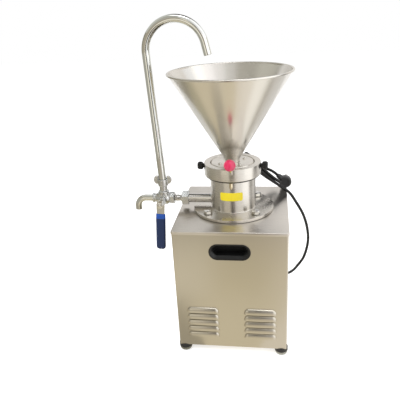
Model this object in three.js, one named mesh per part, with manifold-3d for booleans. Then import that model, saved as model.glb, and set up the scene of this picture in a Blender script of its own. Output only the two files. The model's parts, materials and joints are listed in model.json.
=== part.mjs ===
// Electric nut butter mill on a stainless cabinet, in millimetres.
// X is right, Y is back and Z is up. The cabinet's front faces -Y and the floor is at Z = 0.
import * as THREE from "three";
import { ConvexGeometry } from "three/addons/geometries/ConvexGeometry.js";
import { mergeVertices } from "three/addons/utils/BufferGeometryUtils.js";
import Module from "manifold-3d";

const wasm = await Module();
wasm.setup();

const degree = Math.PI / 180;
const gap = 0.3; // between pieces that fit, seat or turn in each other
const through = 2; // how far a cut runs past the face that it opens
const boreSides = 32; // of the mill's barrel and of what fits round it or in it

// Cabinet
const sheet = 1.2;
const bodyWidth = 249;
const bodyDepth = 266;
const cabinetHeight = 298;
const footHeight = 18;
const bendRadius = 3;
const backReturn = 15;
const lidLip = 7;
const lidRounding = 1.2;
const baseSheet = 1.5;
const baseLip = 12;
const ventCount = 3;
const ventLength = 90;
const ventWidth = 8;
const ventPitch = 30;
const footRadius = 15;
const footTaper = 3;
const footInset = 12;
const footStud = 3;
const footStudLength = 8;

// Louvres, in two columns of equal hoods on the front and on the back
const louvreRows = 5;
const louvreWidth = 70;
const louvreHeight = 12;
const louvrePitch = 16.5;
const louvreDepth = 5;
const louvreSlant = 6;
const louvreOffset = 65;
const louvreBottom = 28;

// Recessed grips
const gripLength = 91;
const gripHeight = 38;
const gripRim = 2;
const gripRimWidth = 3.5;
const gripWall = 1.6;
const gripDepth = 26;
const gripTaper = 8;
const gripSlotLength = 73;
const gripSlotHeight = 20;
const gripDrop = 48; // from the cabinet's top edge to the grip's middle line

// Mounting plate
const plateThickness = 6;
const plateDepth = 190;
const plateFlange = 28;

// Mill body
const gasketThickness = 1;
const flangeRadius = 92.6;
const flangeThickness = 6;
const barrelRadius = 51.5;
const barrelHeight = 107; // from the cabinet's top to the barrel's rim
const chamberRadius = 44;
const chamberFloor = 13;
const spigotRadius = 47.7;
const spigotRoom = 24;
const boltCircle = 76;
const boltRadius = 5;
const boltHeadFlats = 16;
const boltHeadHeight = 6.4;
const washerRadius = 10;
const washerThickness = 1.6;
const outletHeight = 23; // of the outlet's axis above the cabinet's top
const outletRadius = 10.5;
const outletBore = 8.5;
const outletEnd = 109.5;
const ferruleRadius = 13.2;
const ferruleLength = 2.2;

// Adjusting ring, lever and knobs
const ringRadius = 64.2;
const ringBottom = 82; // above the cabinet's top
const ringTop = 113.5;
const ringLipBore = 49.6;
const ringEdge = 1;
const leverAzimuth = -88 * degree;
const leverRise = 37.4 * degree;
const leverRoot = 106; // of its axis above the cabinet's top, where it enters the ring
const leverLength = 55;
const leverRadius = 3.5;
const leverGrip = 9; // how deep the rod sits in the ring and in the ball
const ballRadius = 12.5;
const knobHeight = 103.5; // above the cabinet's top
const knobRadius = 9.3;
const knobThickness = 13;
const knobEdge = 2.5;
const knobNeck = 2.4;
const knobStud = 3;

// Stator carrier, grinding parts and shaft
const carrierRadius = 48.8;
const carrierThickness = 4.2;
const openedGap = 1; // how far the stator stands above its closed place
const socketDepth = 8;
const throatRadius = 15;
const bossDepth = 6;
const bossRadius = 19.5;
const statorBottom = 68; // above the cabinet's top
const grindTop = 98; // where the cone of teeth ends
const rotorWide = 34.5;
const rotorNarrow = 19;
const grindGap = 0.8;
const toothCount = 10;
const toothDepth = 2.2;
const toothWidth = 4.5;
const toothSkew = 14 * degree;
const hubRadius = 16;
const bladeCount = 4;
const bladeReach = 40;
const bladeThickness = 5;
const bladeHeight = 15;
const shaftRadius = 10;
const shaftShoulder = 12;
const shaftTail = 8;
const shaftThread = 6;
const shaftThreadLength = 12;
const sealRadius = 17.5;
const sealLength = 18;
const nutRadius = 9;
const nutHeight = 16;
const vaneReach = 13.5;
const vaneThickness = 3;

// Hopper
const hopperWall = 1.5;
const neckRadius = 16.8;
const neckTop = 121; // above the cabinet's top
const hopperRim = 315; // above the cabinet's top
const hopperRadius = 135.1;
const beadRadius = 2.5;
const hopperSides = 36; // also of the carrier, whose socket fits the hopper's neck

// Union, nipple, valve and spout
const unionFlats = 31.6;
const unionLength = 16.2;
const unionShoulder = 2.8;
const nippleRadius = 7;
const nippleBore = 5.5;
const nippleCollar = 10;
const portDepth = 8.3;
const valveX = -165;
const valveLeft = 27; // from the valve's middle to its left end
const valveRight = 26;
const valveRadius = 12;
const valveSwell = 15.5;
const valveLeftRadius = 10.2;
const valveBore = 6;
const valveHexFlats = 27;
const valveHexLength = 11;
const branchCollar = 13;
const branchRadius = 9.3;
const branchThread = 8;
const branchShoulder = 31;
const branchTop = 40;
const stemBoss = 9;
const stemBossReach = 28;
const packingFlats = 14;
const packingReach = 37;
const stemRadius = 4;
const stemShoulder = 6;
const stemShoulderLength = 2.7;
const ballValveRadius = 10.8;
const ballRoom = 12.2;
const leverArmWidth = 19;
const leverArmTip = 17;
const leverArmThickness = 3;
const leverArmLength = 110;
const leverLean = 4 * degree;
const sleeveTop = 23.5;
const sleeveLength = 92;
const sleeveWidth = 22;
const sleeveThickness = 8;
const sleeveRounding = 2;
const sleeveEnd = 5;
const leverNutFlats = 13;
const leverNutHeight = 6.5;
const spoutRadius = 7.75;
const spoutBend = 20;
const spoutReach = 64.4; // from the valve's middle to the middle of the spout's mouth
const spoutDrop = 29.2;

// Wing nut and return pipe
const wingHub = 12;
const wingHubHeight = 16.7;
const wingThickness = 6;
const wingBore = 9.4;
const wingSpan = 21.2;
const wingTop = 25.7;
const earReach = 5.7; // half the width of an ear
const earRise = 10.2; // half its height
const pipeRadius = 8.6;
const pipeBore = 7.1;
const pipeStart = 0.8; // of the pipe's end above the branch
const archRadius = 64.2;
const archX = -113.5;
const archHeight = 357.5; // of the arch's centre above the cabinet's top
const archOpening = 13 * degree;
const pipeDrop = 26;

// Pointer on the barrel
const pointerTop = 80;
const pointerHeight = 16;
const pointerWidth = 8;
const pointerTip = 3;
const pointerReach = 4.7;

// Motor, hung under the mounting plate
const shieldFlange = 75;
const shieldHeight = 18;
const motorRadius = 62;
const finReach = 70;
const finCount = 16; // a multiple of four, so that the capacitor and the terminal box each lie on a fin
const finThickness = 2.4;
const motorBore = 58;
const motorLength = 140.8;
const lowShield = 16;
const lowShieldRadius = 66;
const bearingRadius = 23.5;
const bearingWidth = 14;
const coreLength = 80;
const coreBore = 36;
const windingLength = 112;
const windingOuter = 54;
const windingInner = 39;
const airGap = 1; // wide enough for the flats of the faceted rotor and stator
const fanRadius = 52;
const fanBlades = 6;
const fanHub = 14;
const fanHeight = 18;
const coverWall = 1.2;
const coverHeight = 50;
const coverLap = 12;
const coverSlots = 6;
const coverSlotLength = 34;
const coverSlotWidth = 9;
const boxDepth = 27;
const boxWidth = 50;
const boxHeight = 60;
const capacitorRadius = 18;
const capacitorLength = 65;

// Switch on the right side
const switchY = 20;
const switchZ = 260;
const bezelWidth = 21;
const bezelHeight = 32;
const bezelThickness = 2;
const switchBody = 22;
const rockerRadius = 11;
const rockerWidth = 13;
const rockerTilt = 8 * degree;
const rockerCrown = 2;
const rockerPin = 1.5;

// Mains lead, its gland and its plug
const cordRadius = 3.5;
const cordSides = 8;
const glandX = 60;
const glandZ = 150;
const glandFlange = 9;
const glandFlangeThickness = 3;
const glandNeck = 6;
const glandLength = 28;
const glandInside = 6;

// Hank: the lead folded up and down in two layers, with a slight bow along its length
const hankRun = 66;
const hankRadius = 31.5;
const hankPitch = 7.65;
const hankFolds = 10; // runs and folds together
const hankReverse = 5.5; // of them, where the loops stop narrowing and widen again
const hankBow = 380;
const hankMiddle = new THREE.Vector3(60.5, 99, 368);
const hankAlong = new THREE.Vector3(-0.66, -0.26, 0.71).normalize();
const hankSides = 6;
const hankRunSteps = 2;
const hankFoldSteps = 10;

// Plug, lying on the lid behind the mill
const plugRadius = 15.5;
const plugLength = 16;
const plugEdge = 2;
const plugMiddle = new THREE.Vector3(122, 129.5, 331.8);
const plugExit = new THREE.Vector3(-0.74, -0.05, 0.67).normalize();
const reliefLength = 11;
const reliefRoot = 7;
const reliefTip = 4.7;
const pinRadius = 2.4;
const pinLength = 19;
const pinSpacing = 19;
const pinTurn = -17 * degree;

// Heights and faces that follow from the sizes above
const lidWidth = bodyWidth + 2 * (gap + sheet);
const lidDepth = bodyDepth + 2 * (gap + sheet);
const cabinetTop = footHeight + cabinetHeight;
const shellTop = cabinetTop - sheet;
const lipBottom = cabinetTop - lidLip;
const frontFace = -bodyDepth / 2;
const backFace = bodyDepth / 2 + sheet;
const plateTop = shellTop;
const plateBottom = plateTop - plateThickness;
const flangeBottom = cabinetTop + gasketThickness;
const flangeTop = flangeBottom + flangeThickness;
const barrelTop = cabinetTop + barrelHeight + 1;
const carrierBottom = barrelTop + gap + openedGap;
const carrierTop = carrierBottom + carrierThickness;
const outletZ = cabinetTop + outletHeight;
const sealBottom = cabinetTop - 2.7;
const hubBottom = sealBottom + sealLength + gap;
const rotorTop = cabinetTop + grindTop;
const shieldTop = plateBottom;
const shieldBottom = shieldTop - shieldHeight;
const shellLow = shieldBottom - motorLength;
const lowShieldBottom = shellLow - lowShield;
const coverBottom = lowShieldBottom + coverLap - coverHeight;
const shaftBottom = coverBottom + 8;

// Finishes
const stainless = { color: 0xc4bfb4, metalness: 1, roughness: 0.3 };
const castSteel = { color: 0xb9b5a4, metalness: 1, roughness: 0.38 };
const plainSteel = { color: 0x9c9c9a, metalness: 1, roughness: 0.5 };
const blackPlastic = { color: 0x161616, metalness: 0, roughness: 0.45 };
const blackRubber = { color: 0x1b1b1b, metalness: 0, roughness: 0.8 };
const redPlastic = { color: 0xd8103f, metalness: 0, roughness: 0.25 };
const blueVinyl = { color: 0x1f4fb0, metalness: 0, roughness: 0.5 };
const greyPaint = { color: 0x6f7478, metalness: 0.2, roughness: 0.6 };
const copper = { color: 0xa65a2e, metalness: 0.8, roughness: 0.45 };
const gasketFibre = { color: 0xd8d2c4, metalness: 0, roughness: 0.9 };

// A closed geometry as a solid that can be cut and joined.
function solid(geometry) {
  const bare = geometry.clone();
  bare.deleteAttribute("normal");
  bare.deleteAttribute("uv");
  const merged = mergeVertices(bare, 1e-4);
  return new wasm.Manifold(
    new wasm.Mesh({
      numProp: 3,
      vertProperties: new Float32Array(merged.attributes.position.array),
      triVerts: new Uint32Array(merged.index.array),
    }),
  );
}

// A cut or joined solid as a geometry.
function geometryOf(made) {
  const mesh = made.getMesh();
  const geometry = new THREE.BufferGeometry();
  geometry.setAttribute("position", new THREE.BufferAttribute(mesh.vertProperties, mesh.numProp));
  geometry.setIndex(new THREE.BufferAttribute(mesh.triVerts, 1));
  return geometry.toNonIndexed();
}

function join(...geometries) {
  return geometryOf(geometries.map(solid).reduce((whole, next) => whole.add(next)));
}

function cut(body, ...tools) {
  return geometryOf(tools.map(solid).reduce((whole, tool) => whole.subtract(tool), solid(body)));
}

function common(body, tool) {
  return geometryOf(solid(body).intersect(solid(tool)));
}

// A body turned about Z from [radius, height] points that go round its section.
function turned(points, segments = 28) {
  let area = 0;
  points.forEach(([radius, height], i) => {
    const [nextRadius, nextHeight] = points[(i + 1) % points.length];
    area += radius * nextHeight - nextRadius * height;
  });
  const ordered = area > 0 ? points : [...points].reverse();
  const onAxis = ordered.findIndex(([radius], i) => {
    return radius === 0 && ordered[(i + ordered.length - 1) % ordered.length][0] === 0;
  });
  const start = Math.max(onAxis, 0);
  const loop = [...ordered.slice(start), ...ordered.slice(0, start)];
  if (onAxis < 0) loop.push(loop[0]);
  const section = loop.map(([radius, height]) => new THREE.Vector2(radius, height));
  return new THREE.LatheGeometry(section, segments).rotateX(Math.PI / 2);
}

function rod(radius, bottom, top, segments = 12) {
  return turned([[0, bottom], [radius, bottom], [radius, top], [0, top]], segments);
}

// A box centred on X and Y that stands on the height given.
function box(width, depth, height, bottom = 0) {
  return new THREE.BoxGeometry(width, depth, height).translate(0, 0, bottom + height / 2);
}

function prism(shape, bottom, height, arcSteps = 3) {
  const settings = { depth: height, bevelEnabled: false, curveSegments: arcSteps };
  return new THREE.ExtrudeGeometry(shape, settings).translate(0, 0, bottom);
}

// A rectangle with round corners, traced into a Shape or into a hole of one.
function roundedRect(width, depth, radius, outline = new THREE.Shape()) {
  const x = width / 2;
  const y = depth / 2;
  outline.moveTo(-x + radius, -y);
  outline.lineTo(x - radius, -y);
  outline.absarc(x - radius, -y + radius, radius, -Math.PI / 2, 0);
  outline.lineTo(x, y - radius);
  outline.absarc(x - radius, y - radius, radius, 0, Math.PI / 2);
  outline.lineTo(-x + radius, y);
  outline.absarc(-x + radius, y - radius, radius, Math.PI / 2, Math.PI);
  outline.lineTo(-x, -y + radius);
  outline.absarc(-x + radius, -y + radius, radius, Math.PI, 1.5 * Math.PI);
  return outline;
}

// An oblong with half-round ends.
function stadium(length, height) {
  return roundedRect(length, height, height / 2 - 1e-3);
}

// A hexagon across flats, with a corner on the shape's +Y.
function hexagon(flats) {
  const corner = flats / Math.sqrt(3);
  const points = [];
  for (let i = 0; i < 6; i++) {
    const angle = Math.PI / 2 + (i * Math.PI) / 3;
    points.push(new THREE.Vector2(corner * Math.cos(angle), corner * Math.sin(angle)));
  }
  return new THREE.Shape(points);
}

// Copies set evenly round Z.
function around(geometry, count, first = 0) {
  return Array.from({ length: count }, (_, i) => {
    return geometry.clone().rotateZ(first + (i * 2 * Math.PI) / count);
  });
}

// Turns a body made along Z so that it lies along X or Y. Along X, its old X side faces down.
const alongX = (geometry) => geometry.rotateY(Math.PI / 2);
const alongY = (geometry) => geometry.rotateX(-Math.PI / 2);

// Aims a body made along Z from a point in a direction.
function aimed(geometry, from, direction) {
  const turn = new THREE.Quaternion().setFromUnitVectors(new THREE.Vector3(0, 0, 1), direction);
  return geometry.applyQuaternion(turn).translate(from.x, from.y, from.z);
}

// A route whose rings stand at the stations given, square to the way there.
class Route extends THREE.Curve {
  constructor(stations) {
    super();
    this.stations = stations;
  }

  index(share) {
    return Math.round(share * (this.stations.length - 1));
  }

  getPointAt(share, target = new THREE.Vector3()) {
    return target.copy(this.stations[this.index(share)]);
  }

  getTangentAt(share, target = new THREE.Vector3()) {
    const i = this.index(share);
    const before = this.stations[Math.max(i - 1, 0)];
    const after = this.stations[Math.min(i + 1, this.stations.length - 1)];
    return target.subVectors(after, before).normalize();
  }
}

function circle(radius, sides) {
  const points = [];
  for (let i = 0; i < sides; i++) {
    const angle = (i * 2 * Math.PI) / sides;
    points.push(new THREE.Vector2(radius * Math.cos(angle), radius * Math.sin(angle)));
  }
  return new THREE.Shape(points);
}

function tube(stations, radius, sides) {
  const settings = { steps: stations.length - 1, extrudePath: new Route(stations) };
  return new THREE.ExtrudeGeometry(circle(radius, sides), settings);
}

// Stations along an arc in the XZ plane, from one angle to another.
function arc(centreX, centreZ, radius, from, to, steps) {
  return Array.from({ length: steps + 1 }, (_, i) => {
    const angle = from + ((to - from) * i) / steps;
    const x = centreX + radius * Math.cos(angle);
    return new THREE.Vector3(x, 0, centreZ + radius * Math.sin(angle));
  });
}

function piece(parent, name, geometry, finish) {
  const mesh = new THREE.Mesh(geometry, new THREE.MeshStandardMaterial(finish));
  mesh.name = name;
  parent.add(mesh);
  return mesh;
}

// One louvre in a panel whose outer face is at Y = 0: the pressed hood, open below.
function louvreHood() {
  const half = louvreWidth / 2;
  const sunk = sheet / 2;
  return new ConvexGeometry([
    new THREE.Vector3(-half + louvreSlant, sunk, louvreHeight),
    new THREE.Vector3(half - louvreSlant, sunk, louvreHeight),
    new THREE.Vector3(-half, sunk, 0),
    new THREE.Vector3(half, sunk, 0),
    new THREE.Vector3(-half + louvreSlant / 2, -louvreDepth, 0),
    new THREE.Vector3(half - louvreSlant / 2, -louvreDepth, 0),
  ]);
}

// The space under a hood, which runs on through the panel.
function louvreRoom() {
  const half = louvreWidth / 2 - 1.8 * sheet;
  const slant = louvreSlant;
  const behind = sheet + 1;
  const top = louvreHeight - 2.4 * sheet;
  return new ConvexGeometry([
    new THREE.Vector3(-half + slant, behind, top),
    new THREE.Vector3(half - slant, behind, top),
    new THREE.Vector3(-half, behind, -1),
    new THREE.Vector3(half, behind, -1),
    new THREE.Vector3(-half + slant / 2, -louvreDepth + 1.1 * sheet, -1),
    new THREE.Vector3(half - slant / 2, -louvreDepth + 1.1 * sheet, -1),
  ]);
}

// Presses both columns of louvres into a panel. The turn is 0 on the front and half a turn on the back.
function pressLouvres(panel, outerFace, turn) {
  const hoods = [];
  const rooms = [];
  for (const side of [-1, 1]) {
    for (let row = 0; row < louvreRows; row++) {
      const z = footHeight + louvreBottom + row * louvrePitch;
      const place = (shape) => shape.translate(side * louvreOffset, outerFace, z).rotateZ(turn);
      hoods.push(place(louvreHood()));
      rooms.push(place(louvreRoom()));
    }
  }
  return cut(join(panel, ...hoods), ...rooms);
}

// A grip's opening, cut into a panel through its whole thickness.
function gripHole(outerFace, turn) {
  const length = gripLength - 2 * gripRimWidth + 2 * gap;
  const height = gripHeight - 2 * gripRimWidth + 2 * gap;
  const hole = prism(stadium(length, height), -2 * sheet - through, 2 * sheet + 2 * through);
  return hole.rotateX(Math.PI / 2).translate(0, outerFace, cabinetTop - gripDrop).rotateZ(turn);
}

// A finger grip: a rim on the panel and a cup behind it, which narrows to a slot.
function grip(outerFace, turn) {
  const cupLength = gripLength - 2 * gripRimWidth;
  const cupHeight = gripHeight - 2 * gripRimWidth;
  const rim = prism(stadium(gripLength, gripHeight), 0, gripRim);
  const cup = prism(stadium(cupLength, cupHeight), -gripDepth, gripDepth + gripRim / 2);
  const mouth = stadium(cupLength - 2 * gripWall, cupHeight - 2 * gripWall).getPoints(3);
  const slot = stadium(gripSlotLength, gripSlotHeight).getPoints(3);
  const funnel = new ConvexGeometry([
    ...mouth.map((point) => new THREE.Vector3(point.x, point.y, gripRim + gap)),
    ...slot.map((point) => new THREE.Vector3(point.x, point.y, gripRim - gripTaper)),
  ]);
  const floor = gripDepth - gripWall;
  const pocket = prism(stadium(gripSlotLength, gripSlotHeight), -floor, floor);
  const made = cut(join(rim, cup), join(funnel, pocket));
  return made.rotateX(Math.PI / 2).translate(0, outerFace, cabinetTop - gripDrop).rotateZ(turn);
}

// The front and both sides, bent from one sheet, with returns that the back panel lies on.
function cabinetShell() {
  const outline = roundedRect(bodyWidth, bodyDepth, bendRadius);
  const inside = roundedRect(
    bodyWidth - 2 * sheet,
    bodyDepth - 2 * sheet,
    bendRadius - sheet,
    new THREE.Path(),
  );
  outline.holes.push(inside);
  const height = shellTop - footHeight;
  const wrap = prism(outline, footHeight, height);
  const backOpening = box(bodyWidth - 2 * backReturn, 8 * sheet, height + 2 * through);
  backOpening.translate(0, bodyDepth / 2, footHeight - through);
  const switchHole = box(4 * sheet, bezelWidth - 4, bezelHeight - 4, switchZ - bezelHeight / 2 + 2);
  switchHole.translate(bodyWidth / 2, switchY, 0);
  const open = cut(wrap, backOpening, switchHole, gripHole(frontFace, 0));
  return pressLouvres(open, frontFace, 0);
}

function backPanel() {
  const top = lipBottom - gap;
  const bottom = footHeight + 2;
  const plate = box(bodyWidth - 2, sheet, top - bottom, bottom).translate(0, backFace - sheet / 2, 0);
  const glandHole = alongY(rod(glandNeck + gap, -2 * sheet, 2 * sheet));
  glandHole.translate(glandX, backFace, glandZ);
  return pressLouvres(cut(plate, gripHole(-backFace, Math.PI), glandHole), -backFace, Math.PI);
}

function cabinetLid() {
  const edge = {
    depth: lidLip + through,
    curveSegments: 3,
    bevelThickness: lidRounding,
    bevelSize: lidRounding,
    bevelOffset: -lidRounding,
    bevelSegments: 2,
  };
  const corner = bendRadius + gap + sheet;
  const block = new THREE.ExtrudeGeometry(roundedRect(lidWidth, lidDepth, corner), edge);
  block.translate(0, 0, cabinetTop - lidLip - through - lidRounding);
  const below = box(2 * lidWidth, 2 * lidDepth, 20, lipBottom - 20);
  const room = roundedRect(lidWidth - 2 * sheet, lidDepth - 2 * sheet, corner - sheet);
  const inside = prism(room, lipBottom - through, lidLip - sheet + through);
  const bore = rod(spigotRadius + gap, shellTop - through, cabinetTop + through, boreSides);
  return cut(block, below, inside, bore, ...boltHoles(shellTop, cabinetTop));
}

function boltHoles(bottom, top) {
  const hole = rod(boltRadius + gap, bottom - through, top + through, 8);
  return around(hole.translate(boltCircle, 0, 0), 4, Math.PI / 4);
}

function basePlate() {
  const width = bodyWidth - 2 * sheet - 2 * gap;
  const depth = bodyDepth - 2 * sheet - 2 * gap;
  const outer = prism(roundedRect(width, depth, bendRadius), footHeight, baseSheet + baseLip);
  const room = prism(
    roundedRect(width - 2 * baseSheet, depth - 2 * baseSheet, bendRadius - baseSheet / 2),
    footHeight + baseSheet,
    baseLip + through,
  );
  const slots = Array.from({ length: ventCount }, (_, i) => {
    const slot = box(ventLength, ventWidth, baseSheet + 2 * through, footHeight - through);
    return slot.translate(0, (i - (ventCount - 1) / 2) * ventPitch, 0);
  });
  const studHoles = footPlaces().map(([x, y]) => {
    const hole = rod(footStud + gap, footHeight - through, footHeight + baseSheet + through, 8);
    return hole.translate(x, y, 0);
  });
  return cut(outer, room, ...slots, ...studHoles);
}

function footPlaces() {
  const x = bodyWidth / 2 - footInset;
  const y = bodyDepth / 2 - footInset;
  return [[-x, -y], [x, -y], [x, y], [-x, y]];
}

function foot() {
  const low = footRadius - footTaper;
  return turned([
    [0, 0],
    [low, 0],
    [footRadius, footHeight * 0.6],
    [footRadius, footHeight],
    [footStud, footHeight],
    [footStud, footHeight + footStudLength],
    [0, footHeight + footStudLength],
  ], 12);
}

// The steel channel under the lid that carries the mill on top and the motor below.
function mountingPlate() {
  const width = bodyWidth - 2 * sheet - 2 * gap;
  const channel = box(width, plateDepth, plateThickness + plateFlange, plateBottom - plateFlange);
  const room = box(
    width - 2 * plateThickness,
    plateDepth + 2 * through,
    plateFlange + through,
    plateBottom - plateFlange - through,
  );
  const bore = rod(spigotRadius + gap, plateBottom - through, plateTop + through, boreSides);
  return cut(channel, room, bore, ...boltHoles(plateBottom, plateTop));
}

function flangeGasket() {
  const ring = turned([
    [spigotRadius + gap, cabinetTop],
    [flangeRadius - 1, cabinetTop],
    [flangeRadius - 1, flangeBottom],
    [spigotRadius + gap, flangeBottom],
  ], boreSides);
  return cut(ring, ...boltHoles(cabinetTop, flangeBottom));
}

// Flange, barrel and spigot turned as one, with the outlet pipe and its ferrule welded on.
function millBody() {
  const floor = cabinetTop + chamberFloor;
  const spigotBottom = plateBottom + 0.7;
  const shell = turned([
    [chamberRadius, barrelTop],
    [barrelRadius, barrelTop],
    [barrelRadius, flangeTop + 2],
    [barrelRadius + 2, flangeTop],
    [flangeRadius - 1, flangeTop],
    [flangeRadius, flangeTop - 1],
    [flangeRadius, flangeBottom],
    [spigotRadius, flangeBottom],
    [spigotRadius, spigotBottom],
    [spigotRoom, spigotBottom],
    [spigotRoom, sealBottom - gap],
    [sealRadius + gap, sealBottom - gap],
    [sealRadius + gap, floor],
    [chamberRadius, floor],
  ], boreSides);
  const pipe = alongX(rod(outletRadius, -outletEnd, -barrelRadius + 3, 16)).translate(0, 0, outletZ);
  const ferrule = alongX(rod(ferruleRadius, -outletEnd, ferruleLength - outletEnd, 16));
  ferrule.translate(0, 0, outletZ);
  const bore = alongX(rod(outletBore, -outletEnd - through, -chamberRadius + 4)).translate(0, 0, outletZ);
  return cut(join(shell, pipe, ferrule), bore, ...boltHoles(flangeBottom, flangeTop));
}

function flangeBolt() {
  const head = prism(hexagon(boltHeadFlats), flangeTop + washerThickness, boltHeadHeight);
  const washer = rod(washerRadius, flangeTop, flangeTop + washerThickness + 0.01, 16);
  const shank = rod(boltRadius, plateBottom + 0.5, flangeTop + 0.5, 8);
  return join(washer, head, shank);
}

function shaftSeal() {
  return turned([
    [shaftRadius + gap, sealBottom],
    [sealRadius, sealBottom],
    [sealRadius, sealBottom + sealLength - 3],
    [sealRadius - 4, sealBottom + sealLength],
    [shaftRadius + gap, sealBottom + sealLength],
  ], 16);
}

// One groove of the grinding cone, along the line from its wide end to its narrow end.
function groove(wide, narrow, skew) {
  const bottom = cabinetTop + statorBottom;
  const rise = rotorTop - bottom;
  const run = wide - narrow;
  const length = Math.hypot(rise, run) + 2 * toothDepth + 2;
  const bar = new THREE.BoxGeometry(2 * toothDepth, toothWidth, length);
  bar.rotateX(skew).rotateY(-Math.atan2(run, rise));
  return bar.translate((wide + narrow) / 2, 0, bottom + rise / 2);
}

function millRotor() {
  const bottom = cabinetTop + statorBottom;
  const cone = turned([
    [shaftRadius + gap, hubBottom],
    [hubRadius, hubBottom],
    [hubRadius, bottom - 4],
    [rotorWide, bottom],
    [rotorNarrow, rotorTop],
    [shaftRadius + gap, rotorTop],
  ], 24);
  const blade = box(bladeReach - hubRadius + 3, bladeThickness, bladeHeight, hubBottom);
  blade.translate((bladeReach + hubRadius - 3) / 2, 0, 0);
  const teeth = around(groove(rotorWide, rotorNarrow, toothSkew), toothCount);
  return cut(join(cone, ...around(blade, bladeCount, Math.PI / 4)), ...teeth);
}

function rotorNut() {
  const bottom = rotorTop + gap;
  const dome = turned([
    [0, bottom + nutHeight],
    [4, bottom + nutHeight - 0.8],
    [nutRadius - 1, bottom + nutHeight - 4],
    [nutRadius, bottom + nutHeight - 7],
    [nutRadius + 2, bottom],
    [shaftThread + gap, bottom],
    [shaftThread + gap, bottom + shaftThreadLength],
    [0, bottom + shaftThreadLength],
  ], 16);
  const vane = box(vaneReach - nutRadius + 1, vaneThickness, 8, bottom + 2);
  vane.translate((vaneReach + nutRadius - 1) / 2, 0, 0);
  return join(dome, ...around(vane, 3));
}

function millStator() {
  const bottom = cabinetTop + statorBottom;
  const ring = turned([
    [rotorWide + grindGap, bottom],
    [chamberRadius - 2 * gap - 1, bottom],
    [chamberRadius - 2 * gap, bottom + 1],
    [chamberRadius - 2 * gap, carrierBottom - openedGap - gap],
    [bossRadius + 2 * gap, carrierBottom - openedGap - gap],
    [rotorNarrow + grindGap, rotorTop],
  ], 24);
  const teeth = around(groove(rotorWide + grindGap, rotorNarrow + grindGap, -toothSkew), toothCount);
  return cut(ring, ...teeth).translate(0, 0, openedGap);
}

// The disc that holds the stator from above and takes the hopper's neck in its socket.
function statorCarrier() {
  const socketFloor = carrierTop - socketDepth;
  return turned([
    [throatRadius, carrierBottom - bossDepth],
    [bossRadius, carrierBottom - bossDepth],
    [bossRadius, carrierBottom],
    [carrierRadius, carrierBottom],
    [carrierRadius, carrierTop],
    [neckRadius + gap, carrierTop],
    [neckRadius + gap, socketFloor],
    [throatRadius, socketFloor],
  ], hopperSides);
}

function leverDirection() {
  return new THREE.Vector3(
    Math.cos(leverRise) * Math.cos(leverAzimuth),
    Math.cos(leverRise) * Math.sin(leverAzimuth),
    Math.sin(leverRise),
  );
}

function leverStart() {
  const z = cabinetTop + leverRoot;
  return new THREE.Vector3(ringRadius * Math.cos(leverAzimuth), ringRadius * Math.sin(leverAzimuth), z);
}

function adjustingRing() {
  const bottom = cabinetTop + ringBottom;
  const top = cabinetTop + ringTop;
  const ring = turned([
    [barrelRadius + gap, bottom],
    [ringRadius - ringEdge, bottom],
    [ringRadius, bottom + ringEdge],
    [ringRadius, top - ringEdge],
    [ringRadius - ringEdge, top],
    [ringLipBore, top],
    [ringLipBore, barrelTop + gap],
    [barrelRadius + gap, barrelTop + gap],
  ], boreSides);
  const reach = ringRadius + through;
  const studHole = alongX(rod(knobStud + gap, -reach, reach)).translate(0, 0, cabinetTop + knobHeight);
  const leverHole = aimed(
    rod(leverRadius + gap, -leverGrip - gap, leverGrip),
    leverStart(),
    leverDirection(),
  );
  return cut(ring, studHole, leverHole);
}

function leverRod() {
  const rodTop = leverLength - ballRadius + leverGrip;
  return aimed(rod(leverRadius, -leverGrip, rodTop), leverStart(), leverDirection());
}

function leverBall() {
  const ball = new THREE.SphereGeometry(ballRadius, 14, 9).rotateX(Math.PI / 2);
  const socket = rod(leverRadius + gap, -2 * ballRadius, leverGrip + gap - ballRadius);
  const middle = leverStart().addScaledVector(leverDirection(), leverLength);
  return aimed(cut(ball, socket), middle, leverDirection());
}

// A locking knob made along Z from the ring's axis outwards. Its stud ends just short of the barrel.
function lockingKnob() {
  const inner = ringRadius + gap;
  const head = inner + knobNeck;
  const end = head + knobThickness;
  return turned([
    [0, barrelRadius + gap],
    [knobStud, barrelRadius + gap],
    [knobStud, inner],
    [knobStud + 2, inner],
    [knobStud + 2, head],
    [knobRadius - knobEdge / 2, head],
    [knobRadius, head + knobEdge],
    [knobRadius, end - knobEdge],
    [knobRadius - knobEdge, end],
    [0, end],
  ], 12);
}

function pointer() {
  const top = cabinetTop + pointerTop;
  const bottom = top - pointerHeight;
  const back = -barrelRadius - gap;
  return new ConvexGeometry([
    new THREE.Vector3(-pointerWidth / 2, back, top),
    new THREE.Vector3(pointerWidth / 2, back, top),
    new THREE.Vector3(0, back - pointerReach, top),
    new THREE.Vector3(-pointerTip / 2, back, bottom),
    new THREE.Vector3(pointerTip / 2, back, bottom),
    new THREE.Vector3(0, back - pointerReach / 2, bottom),
  ]);
}

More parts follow.
